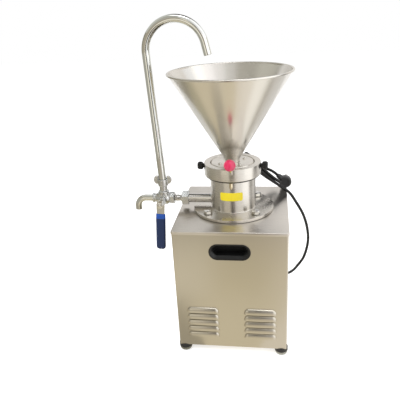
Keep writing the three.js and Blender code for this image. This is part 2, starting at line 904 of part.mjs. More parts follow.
// The neck, the cone and the rolled bead of its rim, as one spun sheet.
function hopper() {
  const bottom = carrierTop - socketDepth + gap;
  const coneBottom = cabinetTop + neckTop;
  const beadX = hopperRadius - beadRadius;
  const beadZ = cabinetTop + hopperRim - beadRadius;
  const slope = (beadX - beadRadius - neckRadius) / (beadZ - coneBottom);
  const bead = Array.from({ length: 4 }, (_, i) => {
    const angle = (-45 + i * 75) * degree;
    return [beadX + beadRadius * Math.cos(angle), beadZ + beadRadius * Math.sin(angle)];
  });
  const wallRun = hopperWall * Math.hypot(1, slope);
  const innerTop = beadX - beadRadius;
  return turned([
    [neckRadius - hopperWall, bottom],
    [neckRadius, bottom],
    [neckRadius, coneBottom],
    [innerTop + wallRun / 2, beadZ - beadRadius],
    ...bead,
    [innerTop - wallRun / 2, beadZ - beadRadius],
    [neckRadius - hopperWall, coneBottom + (wallRun - hopperWall) / slope],
  ], hopperSides);
}

function unionNut() {
  const right = -outletEnd + ferruleLength + unionShoulder + gap;
  const left = right - unionLength;
  const nut = alongX(prism(hexagon(unionFlats), left, unionLength).rotateZ(Math.PI / 2));
  const wide = alongX(rod(ferruleRadius + gap, left - through, right - unionShoulder, 16));
  const narrow = alongX(rod(outletRadius + gap, left, right + through, 16));
  return cut(nut, wide, narrow).translate(0, 0, outletZ);
}

function nipple() {
  const face = -outletEnd - gap;
  const end = valveX + valveRight - portDepth + gap;
  const collar = alongX(rod(ferruleRadius, face - nippleCollar, face, 16));
  const pipe = alongX(rod(nippleRadius, end, face - nippleCollar + 1));
  const bore = alongX(rod(nippleBore, end - through, face + through, 12));
  return cut(join(collar, pipe), bore).translate(0, 0, outletZ);
}

// The parts of the valve are made about the point where its three ways meet.
function valveBody() {
  const middle = alongX(turned([
    [0, -valveLeft],
    [valveLeftRadius, -valveLeft],
    [valveLeftRadius, -valveLeft + 8],
    [valveRadius, -valveLeft + 10],
    [valveSwell, -9],
    [valveSwell, 9],
    [valveRadius, 14],
    [valveRadius, valveRight],
    [0, valveRight],
  ], 14));
  const hexEnd = prism(hexagon(valveHexFlats), valveRight - valveHexLength, valveHexLength);
  const hex = alongX(hexEnd.rotateZ(Math.PI / 2));
  const branch = turned([
    [0, 0],
    [branchCollar - 1, 0],
    [branchCollar, 14],
    [branchCollar, 18],
    [branchRadius, 20],
    [branchRadius, branchShoulder],
    [branchThread, branchShoulder],
    [branchThread, branchTop],
    [0, branchTop],
  ], 16);
  const boss = rod(stemBoss, 0, stemBossReach, 14).rotateX(Math.PI / 2);
  const packing = prism(hexagon(packingFlats), stemBossReach - 1, packingReach - stemBossReach + 1);
  packing.rotateX(Math.PI / 2);
  const cavity = new THREE.SphereGeometry(ballRoom, 12, 8);
  const cross = alongX(rod(valveBore, -valveLeft - through, valveRight + through, 8));
  const leftPort = alongX(rod(spoutRadius + gap, -valveLeft - through, -valveLeft + portDepth));
  const rightPort = alongX(rod(nippleRadius + gap, valveRight - portDepth, valveRight + through));
  const upPort = rod(valveBore, 0, branchTop + through, 8);
  const stemBore = rod(stemRadius + 2 * gap, 0, packingReach + through).rotateX(Math.PI / 2);
  const body = join(middle, hex, branch, boss, packing);
  return cut(body, join(cavity, cross, upPort), leftPort, rightPort, stemBore);
}

function valveBall() {
  const ball = new THREE.SphereGeometry(ballValveRadius, 12, 8);
  const stemEnd = packingReach + stemShoulderLength + gap + leverArmThickness + leverNutHeight + 1;
  const stem = rod(stemRadius, ballValveRadius - 3, stemEnd).rotateX(Math.PI / 2);
  const shoulderStart = packingReach + gap;
  const shoulder = rod(stemShoulder, shoulderStart, shoulderStart + stemShoulderLength);
  shoulder.rotateX(Math.PI / 2);
  const across = alongX(rod(valveBore - 0.5, -2 * ballValveRadius, 2 * ballValveRadius, 8));
  const branch = rod(valveBore - 0.5, -2 * ballValveRadius, 0, 8);
  return join(cut(ball, across, branch), stem, shoulder);
}

const leverFace = packingReach + gap + stemShoulderLength + gap;

function valveLever() {
  const half = leverArmWidth / 2;
  const tip = leverArmTip / 2;
  const outline = new THREE.Shape();
  outline.absarc(0, 0, half, 0, Math.PI);
  outline.lineTo(-half, -sleeveTop + 3);
  outline.lineTo(-tip, -sleeveTop + 1);
  outline.lineTo(-tip, -leverArmLength);
  outline.lineTo(tip, -leverArmLength);
  outline.lineTo(tip, -sleeveTop + 1);
  outline.lineTo(half, -sleeveTop + 3);
  const hole = new THREE.Path().absarc(0, 0, stemRadius + gap, 0, 2 * Math.PI);
  outline.holes.push(hole);
  return prism(outline, leverFace, leverArmThickness, 8).rotateX(Math.PI / 2);
}

function leverSleeve() {
  const rounding = {
    depth: sleeveLength - 2 * sleeveRounding,
    curveSegments: 3,
    bevelThickness: sleeveRounding,
    bevelSize: sleeveRounding,
    bevelOffset: -sleeveRounding,
    bevelSegments: 1,
  };
  const outline = roundedRect(sleeveWidth, sleeveThickness, sleeveThickness / 2 - 0.2);
  const grip = new THREE.ExtrudeGeometry(outline, rounding);
  const middleY = -leverFace - leverArmThickness / 2;
  grip.translate(0, middleY, -sleeveTop - sleeveLength + sleeveRounding);
  const pocketDepth = leverArmLength - sleeveTop + gap;
  const pocket = box(
    leverArmTip + 2 * gap,
    leverArmThickness + 2 * gap,
    pocketDepth + through,
    -sleeveTop - pocketDepth,
  ).translate(0, middleY, 0);
  return cut(grip, pocket);
}

function leverNut() {
  const bottom = leverFace + leverArmThickness + gap;
  const nut = prism(hexagon(leverNutFlats), bottom, leverNutHeight);
  const bore = rod(stemRadius + gap, bottom - through, bottom + leverNutHeight + through, 12);
  return cut(nut, bore).rotateX(Math.PI / 2);
}

function spout() {
  const start = -valveLeft + portDepth - gap;
  const bendX = -spoutReach + spoutBend;
  const stations = [
    new THREE.Vector3(start, 0, 0),
    new THREE.Vector3(bendX + 4, 0, 0),
    ...arc(bendX, -spoutBend, spoutBend, Math.PI / 2, Math.PI, 6),
    new THREE.Vector3(-spoutReach, 0, -spoutBend - 3),
    new THREE.Vector3(-spoutReach, 0, -spoutDrop),
  ];
  const bore = stations.map((station) => station.clone());
  bore[0].x += through;
  bore.at(-1).z -= through;
  return cut(tube(stations, spoutRadius, 12), tube(bore, spoutRadius - 1.6, 6));
}

// The wing nut stands on the shoulder of the valve's upper branch.
function wingNut() {
  const bottom = branchShoulder + gap;
  const top = bottom + wingHubHeight;
  const hub = turned([
    [branchThread + gap, bottom],
    [wingHub - 1, bottom],
    [wingHub, bottom + 2],
    [wingHub, top],
    [wingBore, top],
    [wingBore, branchTop],
    [branchThread + gap, branchTop],
  ], 16);
  const ear = new THREE.Shape();
  ear.absellipse(wingSpan - earReach, bottom + wingTop - earRise, earReach, earRise, 0, 2 * Math.PI);
  const settings = { depth: wingThickness, bevelEnabled: false, curveSegments: 7 };
  const right = new THREE.ExtrudeGeometry(ear, settings).rotateX(Math.PI / 2);
  right.translate(0, wingThickness / 2, 0);
  const left = right.clone().rotateZ(Math.PI);
  return join(hub, right, left);
}

// The gooseneck, made about the point where the valve's ways meet. Its arch bows over the hopper.
function returnPipe() {
  const centreX = archX - valveX;
  const centreZ = archHeight - outletHeight;
  const foot = new THREE.Vector3(0, 0, branchTop + pipeStart);
  const lean = tangentLean(foot, centreX, centreZ);
  const ending = new THREE.Vector3(Math.sin(archOpening), 0, -Math.cos(archOpening));
  const bend = arc(centreX, centreZ, archRadius, Math.PI + lean, archOpening, 13);
  const stations = [
    foot,
    foot.clone().lerp(bend[0], 0.97),
    ...bend,
    bend.at(-1).clone().addScaledVector(ending, 4),
    bend.at(-1).clone().addScaledVector(ending, pipeDrop),
  ];
  const bore = stations.map((station) => station.clone());
  bore[0].z -= through;
  bore.at(-1).addScaledVector(ending, through);
  return cut(tube(stations, pipeRadius, 12), tube(bore, pipeBore, 6));
}

// The pipe's lean, at which a straight line from its foot meets the arch without a kink.
function tangentLean(foot, centreX, centreZ) {
  const across = centreX - foot.x;
  const up = centreZ - foot.z;
  const distance = Math.hypot(across, up);
  return Math.asin(archRadius / distance) - Math.atan2(across, up);
}

function motorTopShield() {
  const pocket = bearingRadius + gap;
  return turned([
    [shaftShoulder, shieldTop],
    [shieldFlange, shieldTop],
    [shieldFlange, shieldTop - 10],
    [motorRadius + 4, shieldBottom],
    [pocket, shieldBottom],
    [pocket, shieldBottom + bearingWidth + 2 * gap],
    [shaftShoulder, shieldBottom + bearingWidth + 2 * gap],
  ], 16);
}

function motorShell() {
  const outline = new THREE.Shape();
  const half = finThickness / 2;
  for (let i = 0; i < finCount; i++) {
    const angle = (i * 2 * Math.PI) / finCount;
    const root = Math.sqrt(motorRadius ** 2 - half ** 2);
    const spots = [[root, -half], [finReach, -half], [finReach, half], [root, half]];
    spots.forEach(([along, across], k) => {
      const x = along * Math.cos(angle) - across * Math.sin(angle);
      const y = along * Math.sin(angle) + across * Math.cos(angle);
      if (i + k === 0) outline.moveTo(x, y);
      else outline.lineTo(x, y);
    });
  }
  outline.holes.push(new THREE.Path(circle(motorBore, 16).getPoints()));
  return prism(outline, shellLow, motorLength);
}

function motorBottomShield() {
  const pocket = bearingRadius + gap;
  return turned([
    [shaftShoulder, lowShieldBottom],
    [lowShieldRadius, lowShieldBottom],
    [lowShieldRadius, shellLow],
    [pocket, shellLow],
    [pocket, shellLow - bearingWidth - 2 * gap],
    [shaftShoulder, shellLow - bearingWidth - 2 * gap],
  ], 16);
}

function bearing(bottom) {
  return turned([
    [shaftRadius + gap, bottom],
    [bearingRadius, bottom],
    [bearingRadius, bottom + bearingWidth],
    [shaftRadius + gap, bottom + bearingWidth],
  ], 16);
}

function motorShaft() {
  const shoulderBottom = shellLow;
  return turned([
    [0, shaftBottom],
    [shaftTail, shaftBottom],
    [shaftTail, lowShieldBottom - 4],
    [shaftRadius, lowShieldBottom - 4],
    [shaftRadius, shoulderBottom],
    [shaftShoulder - gap, shoulderBottom],
    [shaftShoulder - gap, shieldBottom],
    [shaftRadius, shieldBottom],
    [shaftRadius, rotorTop],
    [shaftThread, rotorTop],
    [shaftThread, rotorTop + shaftThreadLength],
    [0, rotorTop + shaftThreadLength],
  ], 16);
}

const coreMiddle = (shieldBottom + shellLow) / 2;

function motorRotor() {
  return turned([
    [shaftShoulder, coreMiddle - coreLength / 2],
    [coreBore - airGap, coreMiddle - coreLength / 2],
    [coreBore - airGap, coreMiddle + coreLength / 2],
    [shaftShoulder, coreMiddle + coreLength / 2],
  ], 16);
}

function motorStator() {
  const half = coreLength / 2;
  const end = windingLength / 2;
  return turned([
    [coreBore, coreMiddle - half],
    [windingInner, coreMiddle - half],
    [windingInner, coreMiddle - end],
    [windingOuter, coreMiddle - end],
    [windingOuter, coreMiddle - half],
    [motorBore - gap, coreMiddle - half],
    [motorBore - gap, coreMiddle + half],
    [windingOuter, coreMiddle + half],
    [windingOuter, coreMiddle + end],
    [windingInner, coreMiddle + end],
    [windingInner, coreMiddle + half],
    [coreBore, coreMiddle + half],
  ], 16);
}

function motorFan() {
  const top = lowShieldBottom - 8;
  const bottom = top - fanHeight;
  const hub = turned([
    [shaftTail + gap, bottom],
    [fanHub, bottom],
    [fanHub, top - 2],
    [fanRadius, top - 2],
    [fanRadius, top],
    [shaftTail + gap, top],
  ], 16);
  const blade = box(fanRadius - fanHub, 2, fanHeight - 3, bottom + 2);
  blade.translate((fanRadius + fanHub) / 2 - 1, 0, 0);
  return join(hub, ...around(blade, fanBlades));
}

function fanCover() {
  const inner = lowShieldRadius + gap;
  const cup = turned([
    [0, coverBottom],
    [inner + coverWall - 4, coverBottom],
    [inner + coverWall, coverBottom + 4],
    [inner + coverWall, coverBottom + coverHeight],
    [inner, coverBottom + coverHeight],
    [inner, coverBottom + 4 + coverWall / 2],
    [inner - 4 + coverWall / 2, coverBottom + coverWall],
    [0, coverBottom + coverWall],
  ], 16);
  const slot = box(coverSlotLength, coverSlotWidth, coverWall + 2 * through, coverBottom - through);
  slot.translate(inner / 2 + 3, 0, 0);
  return cut(cup, ...around(slot, coverSlots));
}

function terminalBox() {
  const middle = shieldBottom - boxHeight / 2 - 30;
  const body = box(boxDepth, boxWidth, boxHeight, middle - boxHeight / 2);
  const lid = box(2, boxWidth + 3, boxHeight + 3, middle - boxHeight / 2 - 1.5);
  const x = -finReach - gap - boxDepth / 2;
  return join(body.translate(x, 0, 0), lid.translate(x - boxDepth / 2, 0, 0));
}

function runCapacitor() {
  const bottom = shellLow + 4;
  const can = turned([
    [0, bottom],
    [capacitorRadius, bottom],
    [capacitorRadius, bottom + capacitorLength - 2],
    [capacitorRadius - 2, bottom + capacitorLength],
    [0, bottom + capacitorLength],
  ], 16);
  return can.translate(0, finReach + gap + capacitorRadius, 0);
}

// The rocker and its housing are made about the rocker's pin, with +X facing out of the cabinet.
const switchPinX = bodyWidth / 2 + bezelThickness - 1;

function switchHousing() {
  const face = bodyWidth / 2 - switchPinX;
  const bezel = box(bezelThickness, bezelWidth, bezelHeight, -bezelHeight / 2);
  bezel.translate(face + bezelThickness / 2, 0, 0);
  const bodyWide = bezelWidth - 4 - 2 * gap;
  const bodyTall = bezelHeight - 4 - 2 * gap;
  const body = box(switchBody + 1, bodyWide, bodyTall, -bodyTall / 2);
  body.translate(face - switchBody / 2 + 0.5, 0, 0);
  const room = rod(rockerRadius + 2 * gap, -rockerWidth / 2 - gap, rockerWidth / 2 + gap, 20);
  room.rotateX(Math.PI / 2);
  const pinHole = rod(rockerPin + 2 * gap, -rockerWidth / 2 - 1.6, rockerWidth / 2 + 1.6, 8);
  pinHole.rotateX(Math.PI / 2);
  return cut(join(bezel, body), room, pinHole);
}

function switchRocker() {
  const drum = rod(rockerRadius, -rockerWidth / 2, rockerWidth / 2, 20).rotateX(Math.PI / 2);
  const slope = Math.tan(rockerTilt) * rockerRadius;
  const roof = new THREE.Shape();
  roof.moveTo(-rockerRadius - 1, -rockerRadius - 1);
  roof.lineTo(rockerCrown - slope, -rockerRadius - 1);
  roof.lineTo(rockerCrown, 0);
  roof.lineTo(rockerCrown - slope, rockerRadius + 1);
  roof.lineTo(-rockerRadius - 1, rockerRadius + 1);
  const profile = prism(roof, -rockerWidth, 2 * rockerWidth).rotateX(Math.PI / 2);
  const pin = rod(rockerPin, -rockerWidth / 2 - 1.2, rockerWidth / 2 + 1.2, 8).rotateX(Math.PI / 2);
  return join(common(drum, profile), pin);
}

// The gland is moulded on the lead: a collar on the panel and a tapered strain relief.
function cordGland() {
  const tip = glandFlangeThickness + glandLength;
  const made = turned([
    [0, -sheet - glandInside],
    [glandNeck, -sheet - glandInside],
    [glandNeck, 0],
    [glandFlange, 0],
    [glandFlange, glandFlangeThickness - 1],
    [glandFlange - 1, glandFlangeThickness],
    [glandNeck + 0.6, glandFlangeThickness],
    [cordRadius + 1, tip],
    [0, tip],
  ], 12);
  return alongY(made).translate(glandX, backFace, glandZ);
}

// Where the cord's middle line lies in the hank. Every fourth stretch goes up, over, down or round.
function hankPoint(travelled) {
  const stretch = Math.min(Math.floor(travelled), hankFolds - 1);
  const share = travelled - stretch;
  const radius = hankRadius - (hankPitch / 4) * (hankReverse - Math.abs(travelled - hankReverse));
  const layer = hankPitch * THREE.MathUtils.clamp(travelled - hankReverse + 0.5, 0, 1);
  const turn = Math.PI * share;
  const half = hankRun / 2;
  const [along, across] = [
    [hankRun * share - half, -radius],
    [half + radius * Math.sin(turn), -radius * Math.cos(turn)],
    [half - hankRun * share, radius],
    [-half - radius * Math.sin(turn), radius * Math.cos(turn)],
  ][stretch % 4];
  const bend = along / hankBow;
  const { width, normal } = hankFrame();
  return hankMiddle.clone()
    .addScaledVector(hankAlong, hankBow * Math.sin(bend) - layer * Math.sin(bend))
    .addScaledVector(normal, hankBow * (1 - Math.cos(bend)) + layer * Math.cos(bend))
    .addScaledVector(width, across);
}

function hankFrame() {
  const width = new THREE.Vector3(-0.25, 0.93, -0.22);
  width.addScaledVector(hankAlong, -width.dot(hankAlong)).normalize();
  const normal = new THREE.Vector3().crossVectors(width, hankAlong);
  return { width, normal };
}

// The way along the hank at its first or last run: up along it, at one of its ends.
function hankHeading(along) {
  const bend = along / hankBow;
  const { normal } = hankFrame();
  return hankAlong.clone().multiplyScalar(Math.cos(bend)).addScaledVector(normal, Math.sin(bend));
}

// The free stretches meet the hank's two ends, which run straight for one cord diameter.
const hankStart = {
  point: hankPoint(0).addScaledVector(hankHeading(-hankRun / 2), -2 * cordRadius),
  heading: hankHeading(-hankRun / 2).negate(),
};
const hankEnd = {
  point: hankPoint(hankFolds).addScaledVector(hankHeading(hankRun / 2), -2 * cordRadius),
  heading: hankHeading(hankRun / 2).negate(),
};

function cordHank() {
  const stations = [hankStart.point];
  for (let stretch = 0; stretch < hankFolds; stretch++) {
    const steps = stretch % 2 === 0 ? hankRunSteps : hankFoldSteps;
    for (let i = 0; i < steps; i++) stations.push(hankPoint(stretch + i / steps));
  }
  stations.push(hankPoint(hankFolds), hankEnd.point);
  return tube(stations, cordRadius, hankSides);
}

// The least gap between the hank's own strands, on points three diameters or more apart along it.
function leastHankGap() {
  const count = 600;
  const points = Array.from({ length: count + 1 }, (_, i) => hankPoint((i * hankFolds) / count));
  const travelled = [0];
  points.slice(1).forEach((point, i) => travelled.push(travelled[i] + point.distanceTo(points[i])));
  let least = Infinity;
  points.forEach((point, i) => {
    for (let k = i + 1; k < points.length; k++) {
      if (travelled[k] - travelled[i] < 6 * cordRadius) continue;
      least = Math.min(least, point.distanceTo(points[k]) - 2 * cordRadius);
    }
  });
  return least;
}

function smoothRoute(points, steps) {
  return new THREE.CatmullRomCurve3(points, false, "centripetal").getSpacedPoints(steps);
}

// From the gland round the cabinet's right side, over the lid's edge and up to the hank.
function cordLead() {
  const start = new THREE.Vector3(glandX, backFace + glandFlangeThickness + glandLength + gap, glandZ);
  const end = hankStart.point.clone().addScaledVector(hankStart.heading, gap);
  const straight = 2 * cordRadius;
  const between = [
    [60.2, 183.6, 148.5], [60.7, 193, 145.1], [61.8, 202.6, 138.4], [63.4, 210.3, 128.5],
    [66.6, 215.7, 111.4], [75.7, 209.5, 74.7], [87.6, 194.6, 54.6], [103.1, 184.2, 40.4],
    [118.4, 173.1, 36.4], [133.1, 161.4, 41.8], [147.2, 149.4, 57.8], [160.8, 137, 84],
    [174.8, 124, 118], [183.2, 113, 173], [177.6, 105, 220.4], [167.4, 100, 253.6],
    [159.1, 96, 271.4], [146.8, 92.5, 293.6], [138.6, 91, 307.5], [131, 90, 317.6],
    [121.8, 88.4, 325.7],
  ].map((spot) => new THREE.Vector3(...spot));
  const route = smoothRoute([
    start.clone().setY(start.y + straight),
    ...between,
    end.clone().addScaledVector(hankStart.heading, 2 * straight),
    end.clone().addScaledVector(hankStart.heading, straight),
  ], 54);
  return tube([start, ...route, end], cordRadius, cordSides);
}

// From the hank's last loop in a low arch to the plug's strain relief.
function cordTail() {
  const start = hankEnd.point.clone().addScaledVector(hankEnd.heading, gap);
  const reliefEnd = plugMiddle.clone().addScaledVector(plugExit, plugRadius + reliefLength);
  const end = reliefEnd.addScaledVector(plugExit, gap);
  const straight = 2 * cordRadius;
  const between = [
    [47.1, 126.5, 378.7], [54.4, 129.2, 374], [63.6, 130.8, 370.2], [86.9, 128.2, 361.4],
  ].map((spot) => new THREE.Vector3(...spot));
  const route = smoothRoute([
    start.clone().addScaledVector(hankEnd.heading, straight),
    ...between,
    end.clone().addScaledVector(plugExit, straight),
  ], 12);
  return tube([start, ...route, end], cordRadius, cordSides);
}

// A moulded plug with two round pins. Its body lies on its side, with the pins pointing back.
function plug() {
  const half = plugLength / 2;
  const body = alongY(turned([
    [0, -half],
    [plugRadius - plugEdge, -half],
    [plugRadius, -half + plugEdge],
    [plugRadius, half],
    [0, half],
  ], 20));
  const relief = turned([
    [0, plugRadius - 4],
    [reliefRoot, plugRadius - 4],
    [reliefTip, plugRadius + reliefLength],
    [0, plugRadius + reliefLength],
  ], 12);
  const pins = [-1, 1].map((side) => {
    const pin = alongY(rod(pinRadius, half - 1, half + pinLength, 8));
    return pin.translate(0, 0, (side * pinSpacing) / 2).rotateY(-pinTurn);
  });
  const made = join(body, aimed(relief, new THREE.Vector3(), plugExit), ...pins);
  return made.translate(plugMiddle.x, plugMiddle.y, plugMiddle.z);
}

const mill = new THREE.Group();

function addCabinet() {
  piece(mill, "cabinet_shell", cabinetShell(), stainless);
  piece(mill, "cabinet_top", cabinetLid(), stainless);
  piece(mill, "back_panel", backPanel(), stainless);
  piece(mill, "base_plate", basePlate(), stainless);
  piece(mill, "front_grip", grip(frontFace, 0), blackPlastic);
  piece(mill, "back_grip", grip(-backFace, Math.PI), blackPlastic);
  piece(mill, "mounting_plate", mountingPlate(), plainSteel);
  const names = ["foot_front_left", "foot_front_right", "foot_back_right", "foot_back_left"];
  footPlaces().forEach(([x, y], i) => {
    piece(mill, names[i], foot(), blackRubber).position.set(x, y, 0);
  });
}

function addMillHead() {
  piece(mill, "flange_gasket", flangeGasket(), gasketFibre);
  piece(mill, "mill_body", millBody(), stainless);
  const corners = ["front_left", "front_right", "back_right", "back_left"];
  corners.forEach((corner, i) => {
    const angle = (2 * i - 3) * (Math.PI / 4);
    const bolt = piece(mill, "flange_bolt_" + corner, flangeBolt(), stainless);
    bolt.position.set(boltCircle * Math.cos(angle), boltCircle * Math.sin(angle), 0);
  });
  piece(mill, "shaft_seal", shaftSeal(), blackRubber);
  piece(mill, "mill_rotor", millRotor(), castSteel);
  piece(mill, "rotor_nut", rotorNut(), stainless);
  piece(mill, "mill_stator", millStator(), castSteel);
  piece(mill, "stator_carrier", statorCarrier(), stainless);
  piece(mill, "adjusting_ring", adjustingRing(), stainless);
  piece(mill, "lever_rod", leverRod(), stainless);
  piece(mill, "lever_ball", leverBall(), redPlastic);
  piece(mill, "pointer", pointer(), plainSteel);
  piece(mill, "hopper", hopper(), stainless);
  for (const [name, turn] of [["locking_knob_left", -90], ["locking_knob_right", 90]]) {
    const knob = piece(mill, name, lockingKnob(), blackPlastic);
    knob.position.z = cabinetTop + knobHeight;
    knob.rotation.y = turn * degree;
  }
}

function addOutlet() {
  piece(mill, "union_nut", unionNut(), castSteel);
  piece(mill, "nipple", nipple(), stainless);
  const valve = new THREE.Group();
  valve.position.set(valveX, 0, outletZ);
  mill.add(valve);
  piece(valve, "valve_body", valveBody(), castSteel);
  piece(valve, "spout", spout(), stainless);
  piece(valve, "wing_nut", wingNut(), castSteel);
  piece(valve, "return_pipe", returnPipe(), stainless);
  const handle = new THREE.Group();
  handle.rotation.y = leverLean;
  valve.add(handle);
  piece(handle, "valve_ball", valveBall(), stainless);
  piece(handle, "valve_lever", valveLever(), stainless);
  piece(handle, "lever_sleeve", leverSleeve(), blueVinyl);
  piece(handle, "lever_nut", leverNut(), stainless);
}

function addMotor() {
  piece(mill, "motor_top_shield", motorTopShield(), greyPaint);
  piece(mill, "motor_shell", motorShell(), greyPaint);
  piece(mill, "motor_bottom_shield", motorBottomShield(), greyPaint);
  piece(mill, "top_bearing", bearing(shieldBottom + gap), plainSteel);
  piece(mill, "bottom_bearing", bearing(shellLow - bearingWidth - gap), plainSteel);
  piece(mill, "motor_shaft", motorShaft(), plainSteel);
  piece(mill, "motor_rotor", motorRotor(), plainSteel);
  piece(mill, "motor_stator", motorStator(), copper);
  piece(mill, "motor_fan", motorFan(), blackPlastic);
  piece(mill, "fan_cover", fanCover(), greyPaint);
  piece(mill, "terminal_box", terminalBox(), blackPlastic);
  piece(mill, "run_capacitor", runCapacitor(), plainSteel);
}

function addSwitchAndLead() {
  const place = new THREE.Group();
  place.position.set(switchPinX, switchY, switchZ);
  mill.add(place);
  piece(place, "switch_housing", switchHousing(), blackPlastic);
  piece(place, "switch_rocker", switchRocker(), blackPlastic).rotation.y = -rockerTilt;
  piece(mill, "cord_gland", cordGland(), blackRubber);
  piece(mill, "cord_lead", cordLead(), blackRubber);
  piece(mill, "cord_hank", cordHank(), blackRubber);
  piece(mill, "cord_tail", cordTail(), blackRubber);
  piece(mill, "plug", plug(), blackRubber);
  console.log(`least gap of the hank to itself: ${leastHankGap().toFixed(2)} mm`);
}

addCabinet();
addMillHead();
addOutlet();
addMotor();
addSwitchAndLead();

// The part's origin lies on the floor, below the middle of everything but the mains lead.
function standOnOrigin() {
  const bounds = new THREE.Box3();
  mill.updateMatrixWorld(true);
  mill.traverse((node) => {
    const onLead = node.name.startsWith("cord_") || node.name === "plug";
    if (node.isMesh && !onLead) bounds.expandByObject(node, true);
  });
  const middle = bounds.getCenter(new THREE.Vector3());
  mill.position.set(-middle.x, -middle.y, -bounds.min.z);
  return new THREE.Group().add(mill);
}

export default standOnOrigin();
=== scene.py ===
import json
import math

import bmesh
import bpy
from mathutils import Matrix, Vector


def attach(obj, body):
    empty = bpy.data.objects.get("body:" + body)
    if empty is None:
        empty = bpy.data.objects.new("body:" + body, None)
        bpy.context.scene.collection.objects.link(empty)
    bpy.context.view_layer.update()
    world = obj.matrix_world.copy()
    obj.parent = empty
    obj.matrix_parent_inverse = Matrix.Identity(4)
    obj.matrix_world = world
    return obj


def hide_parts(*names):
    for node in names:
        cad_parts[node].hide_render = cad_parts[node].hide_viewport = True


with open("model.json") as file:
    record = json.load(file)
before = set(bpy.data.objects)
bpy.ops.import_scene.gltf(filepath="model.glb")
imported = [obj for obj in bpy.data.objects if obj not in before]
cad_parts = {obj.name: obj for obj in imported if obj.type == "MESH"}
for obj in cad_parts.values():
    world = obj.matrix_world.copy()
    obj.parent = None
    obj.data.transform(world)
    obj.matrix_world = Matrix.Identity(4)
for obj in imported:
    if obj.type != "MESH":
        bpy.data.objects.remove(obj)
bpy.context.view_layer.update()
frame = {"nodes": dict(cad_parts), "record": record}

AXIS_X = 51.1925  # of the mill's axis in the row frame
AXIS_Y = -0.6
FRONT_FACE = -133  # the cabinet's front, as Y
BACK_FACE = 134.2
CABINET_TOP = 316
GRIP_Z = 268
FLANGE_RADIUS = 92.6
FLANGE_LOW = 317
FLANGE_TOP = 323
BOLT_CIRCLE = 76
BARREL_RADIUS = 51.5
BARREL_TOP = 424
RING_RADIUS = 64.2
RING_LOW = 398
RING_TOP = 429.5
KNOB_Z = 419.5
OUTLET_Z = 339
OUTLET_RADIUS = 10.5
OUTLET_BORE = 8.5
COLLAR_RADIUS = 13.2
COLLAR_END = -109.5  # X of the outlet pipe's end
VALVE_X = -165
LEVER_FACE = 40.3  # from the valve's middle to the back of its lever
LEVER_THICKNESS = 3
GAP = 0.3
SHARP = 32  # edges with a wider angle, in degrees, stay crisp
MILL = Matrix.Translation((AXIS_X / 1000, AXIS_Y / 1000, 0)) @ Matrix.Scale(0.001, 4)


def at(x, y, z):
    return Matrix.Translation((x, y, z))


def turned_by(degrees, axis):
    return Matrix.Rotation(math.radians(degrees), 4, axis)


def polar(radius, angle, z):
    return radius * math.cos(angle), radius * math.sin(angle), z


def round_angles(count):
    return [2 * math.pi * i / count for i in range(count)]


ALONG_X = turned_by(90, "Y")  # what points up then points right
TO_FRONT = turned_by(90, "X")
TO_BACK = turned_by(-90, "X")
HEX_UP = ALONG_X  # a hexagon with a corner along X gets it up and down
OUTLET = at(0, 0, OUTLET_Z) @ ALONG_X
VALVE = at(VALVE_X, 0, OUTLET_Z)
LEVER = VALVE @ turned_by(4, "Y")


# Camera

CAMERA_PLACE = (0.14194, -1.0312, 0.770)
CAMERA_LENS = 43.08
YAW, PITCH, ROLL = 0.1634, 0.3960, -0.0571  # to the left, down, and about the view


def place_camera():
    data = bpy.data.cameras.new("camera")
    data.lens = CAMERA_LENS
    data.sensor_width = 36
    data.clip_end = 20
    camera = bpy.data.objects.new("camera", data)
    bpy.context.scene.collection.objects.link(camera)
    heading = Matrix.Rotation(YAW, 4, "Z") @ Matrix.Rotation(math.pi / 2 - PITCH, 4, "X")
    camera.matrix_world = at(*CAMERA_PLACE) @ heading @ Matrix.Rotation(ROLL, 4, "Z")
    bpy.context.scene.camera = camera


# Meshes


def soft(section, steps):
    """Rounds the corners of a section. A point with a third value has that fillet radius."""
    made = []
    for i, point in enumerate(section):
        here = Vector(point[:2])
        if len(point) == 2:
            made.append(tuple(here))
            continue
        before = Vector(section[i - 1][:2])
        after = Vector(section[(i + 1) % len(section)][:2])
        back = (before - here).normalized()
        ahead = (after - here).normalized()
        reach = point[2] / math.tan(back.angle(ahead) / 2)
        reach = min(reach, (before - here).length * 0.49, (after - here).length * 0.49)
        start = here + back * reach
        end = here + ahead * reach
        for k in range(steps + 1):
            t = k / steps
            made.append(tuple(start * (1 - t) ** 2 + here * 2 * t * (1 - t) + end * t * t))
    return made


def lathe(section, sides=96, lobes=None, steps=4):
    """A body turned about Z from (radius, height) points, with soft() fillets.

    A section that starts on the axis makes a solid, and any other makes a ring.
    lobes = (count, depth, least radius) waves the outside.
    """
    bm = bmesh.new()
    rings = []
    for radius, height in soft(section, steps):
        if radius < 1e-6:
            rings.append([bm.verts.new((0, 0, height))])
            continue
        ring = []
        for angle in round_angles(sides):
            reach = radius
            if lobes and radius > lobes[2]:
                reach -= lobes[1] * (0.5 - 0.5 * math.cos(lobes[0] * angle))
            ring.append(bm.verts.new(polar(reach, angle, height)))
        rings.append(ring)
    if len(rings[0]) > 1:
        rings.append(rings[0])
    for low, high in zip(rings, rings[1:]):
        for i in range(sides):
            k = (i + 1) % sides
            corners = []
            for vert in (low[i % len(low)], low[k % len(low)], high[k % len(high)], high[i % len(high)]):
                if vert not in corners:
                    corners.append(vert)
            if len(corners) > 2:
                bm.faces.new(corners)
    bmesh.ops.recalc_face_normals(bm, faces=bm.faces)
    return bm


def join(bm, low, high):
    """Faces between two rings of as many vertices."""
    for i in range(len(low)):
        k = (i + 1) % len(low)
        bm.faces.new((low[i], low[k], high[k], high[i]))


def strip(bm, left, right):
    """Faces between two lines of as many vertices."""
    for k in range(len(left) - 1):
        bm.faces.new((left[k], right[k], right[k + 1], left[k + 1]))


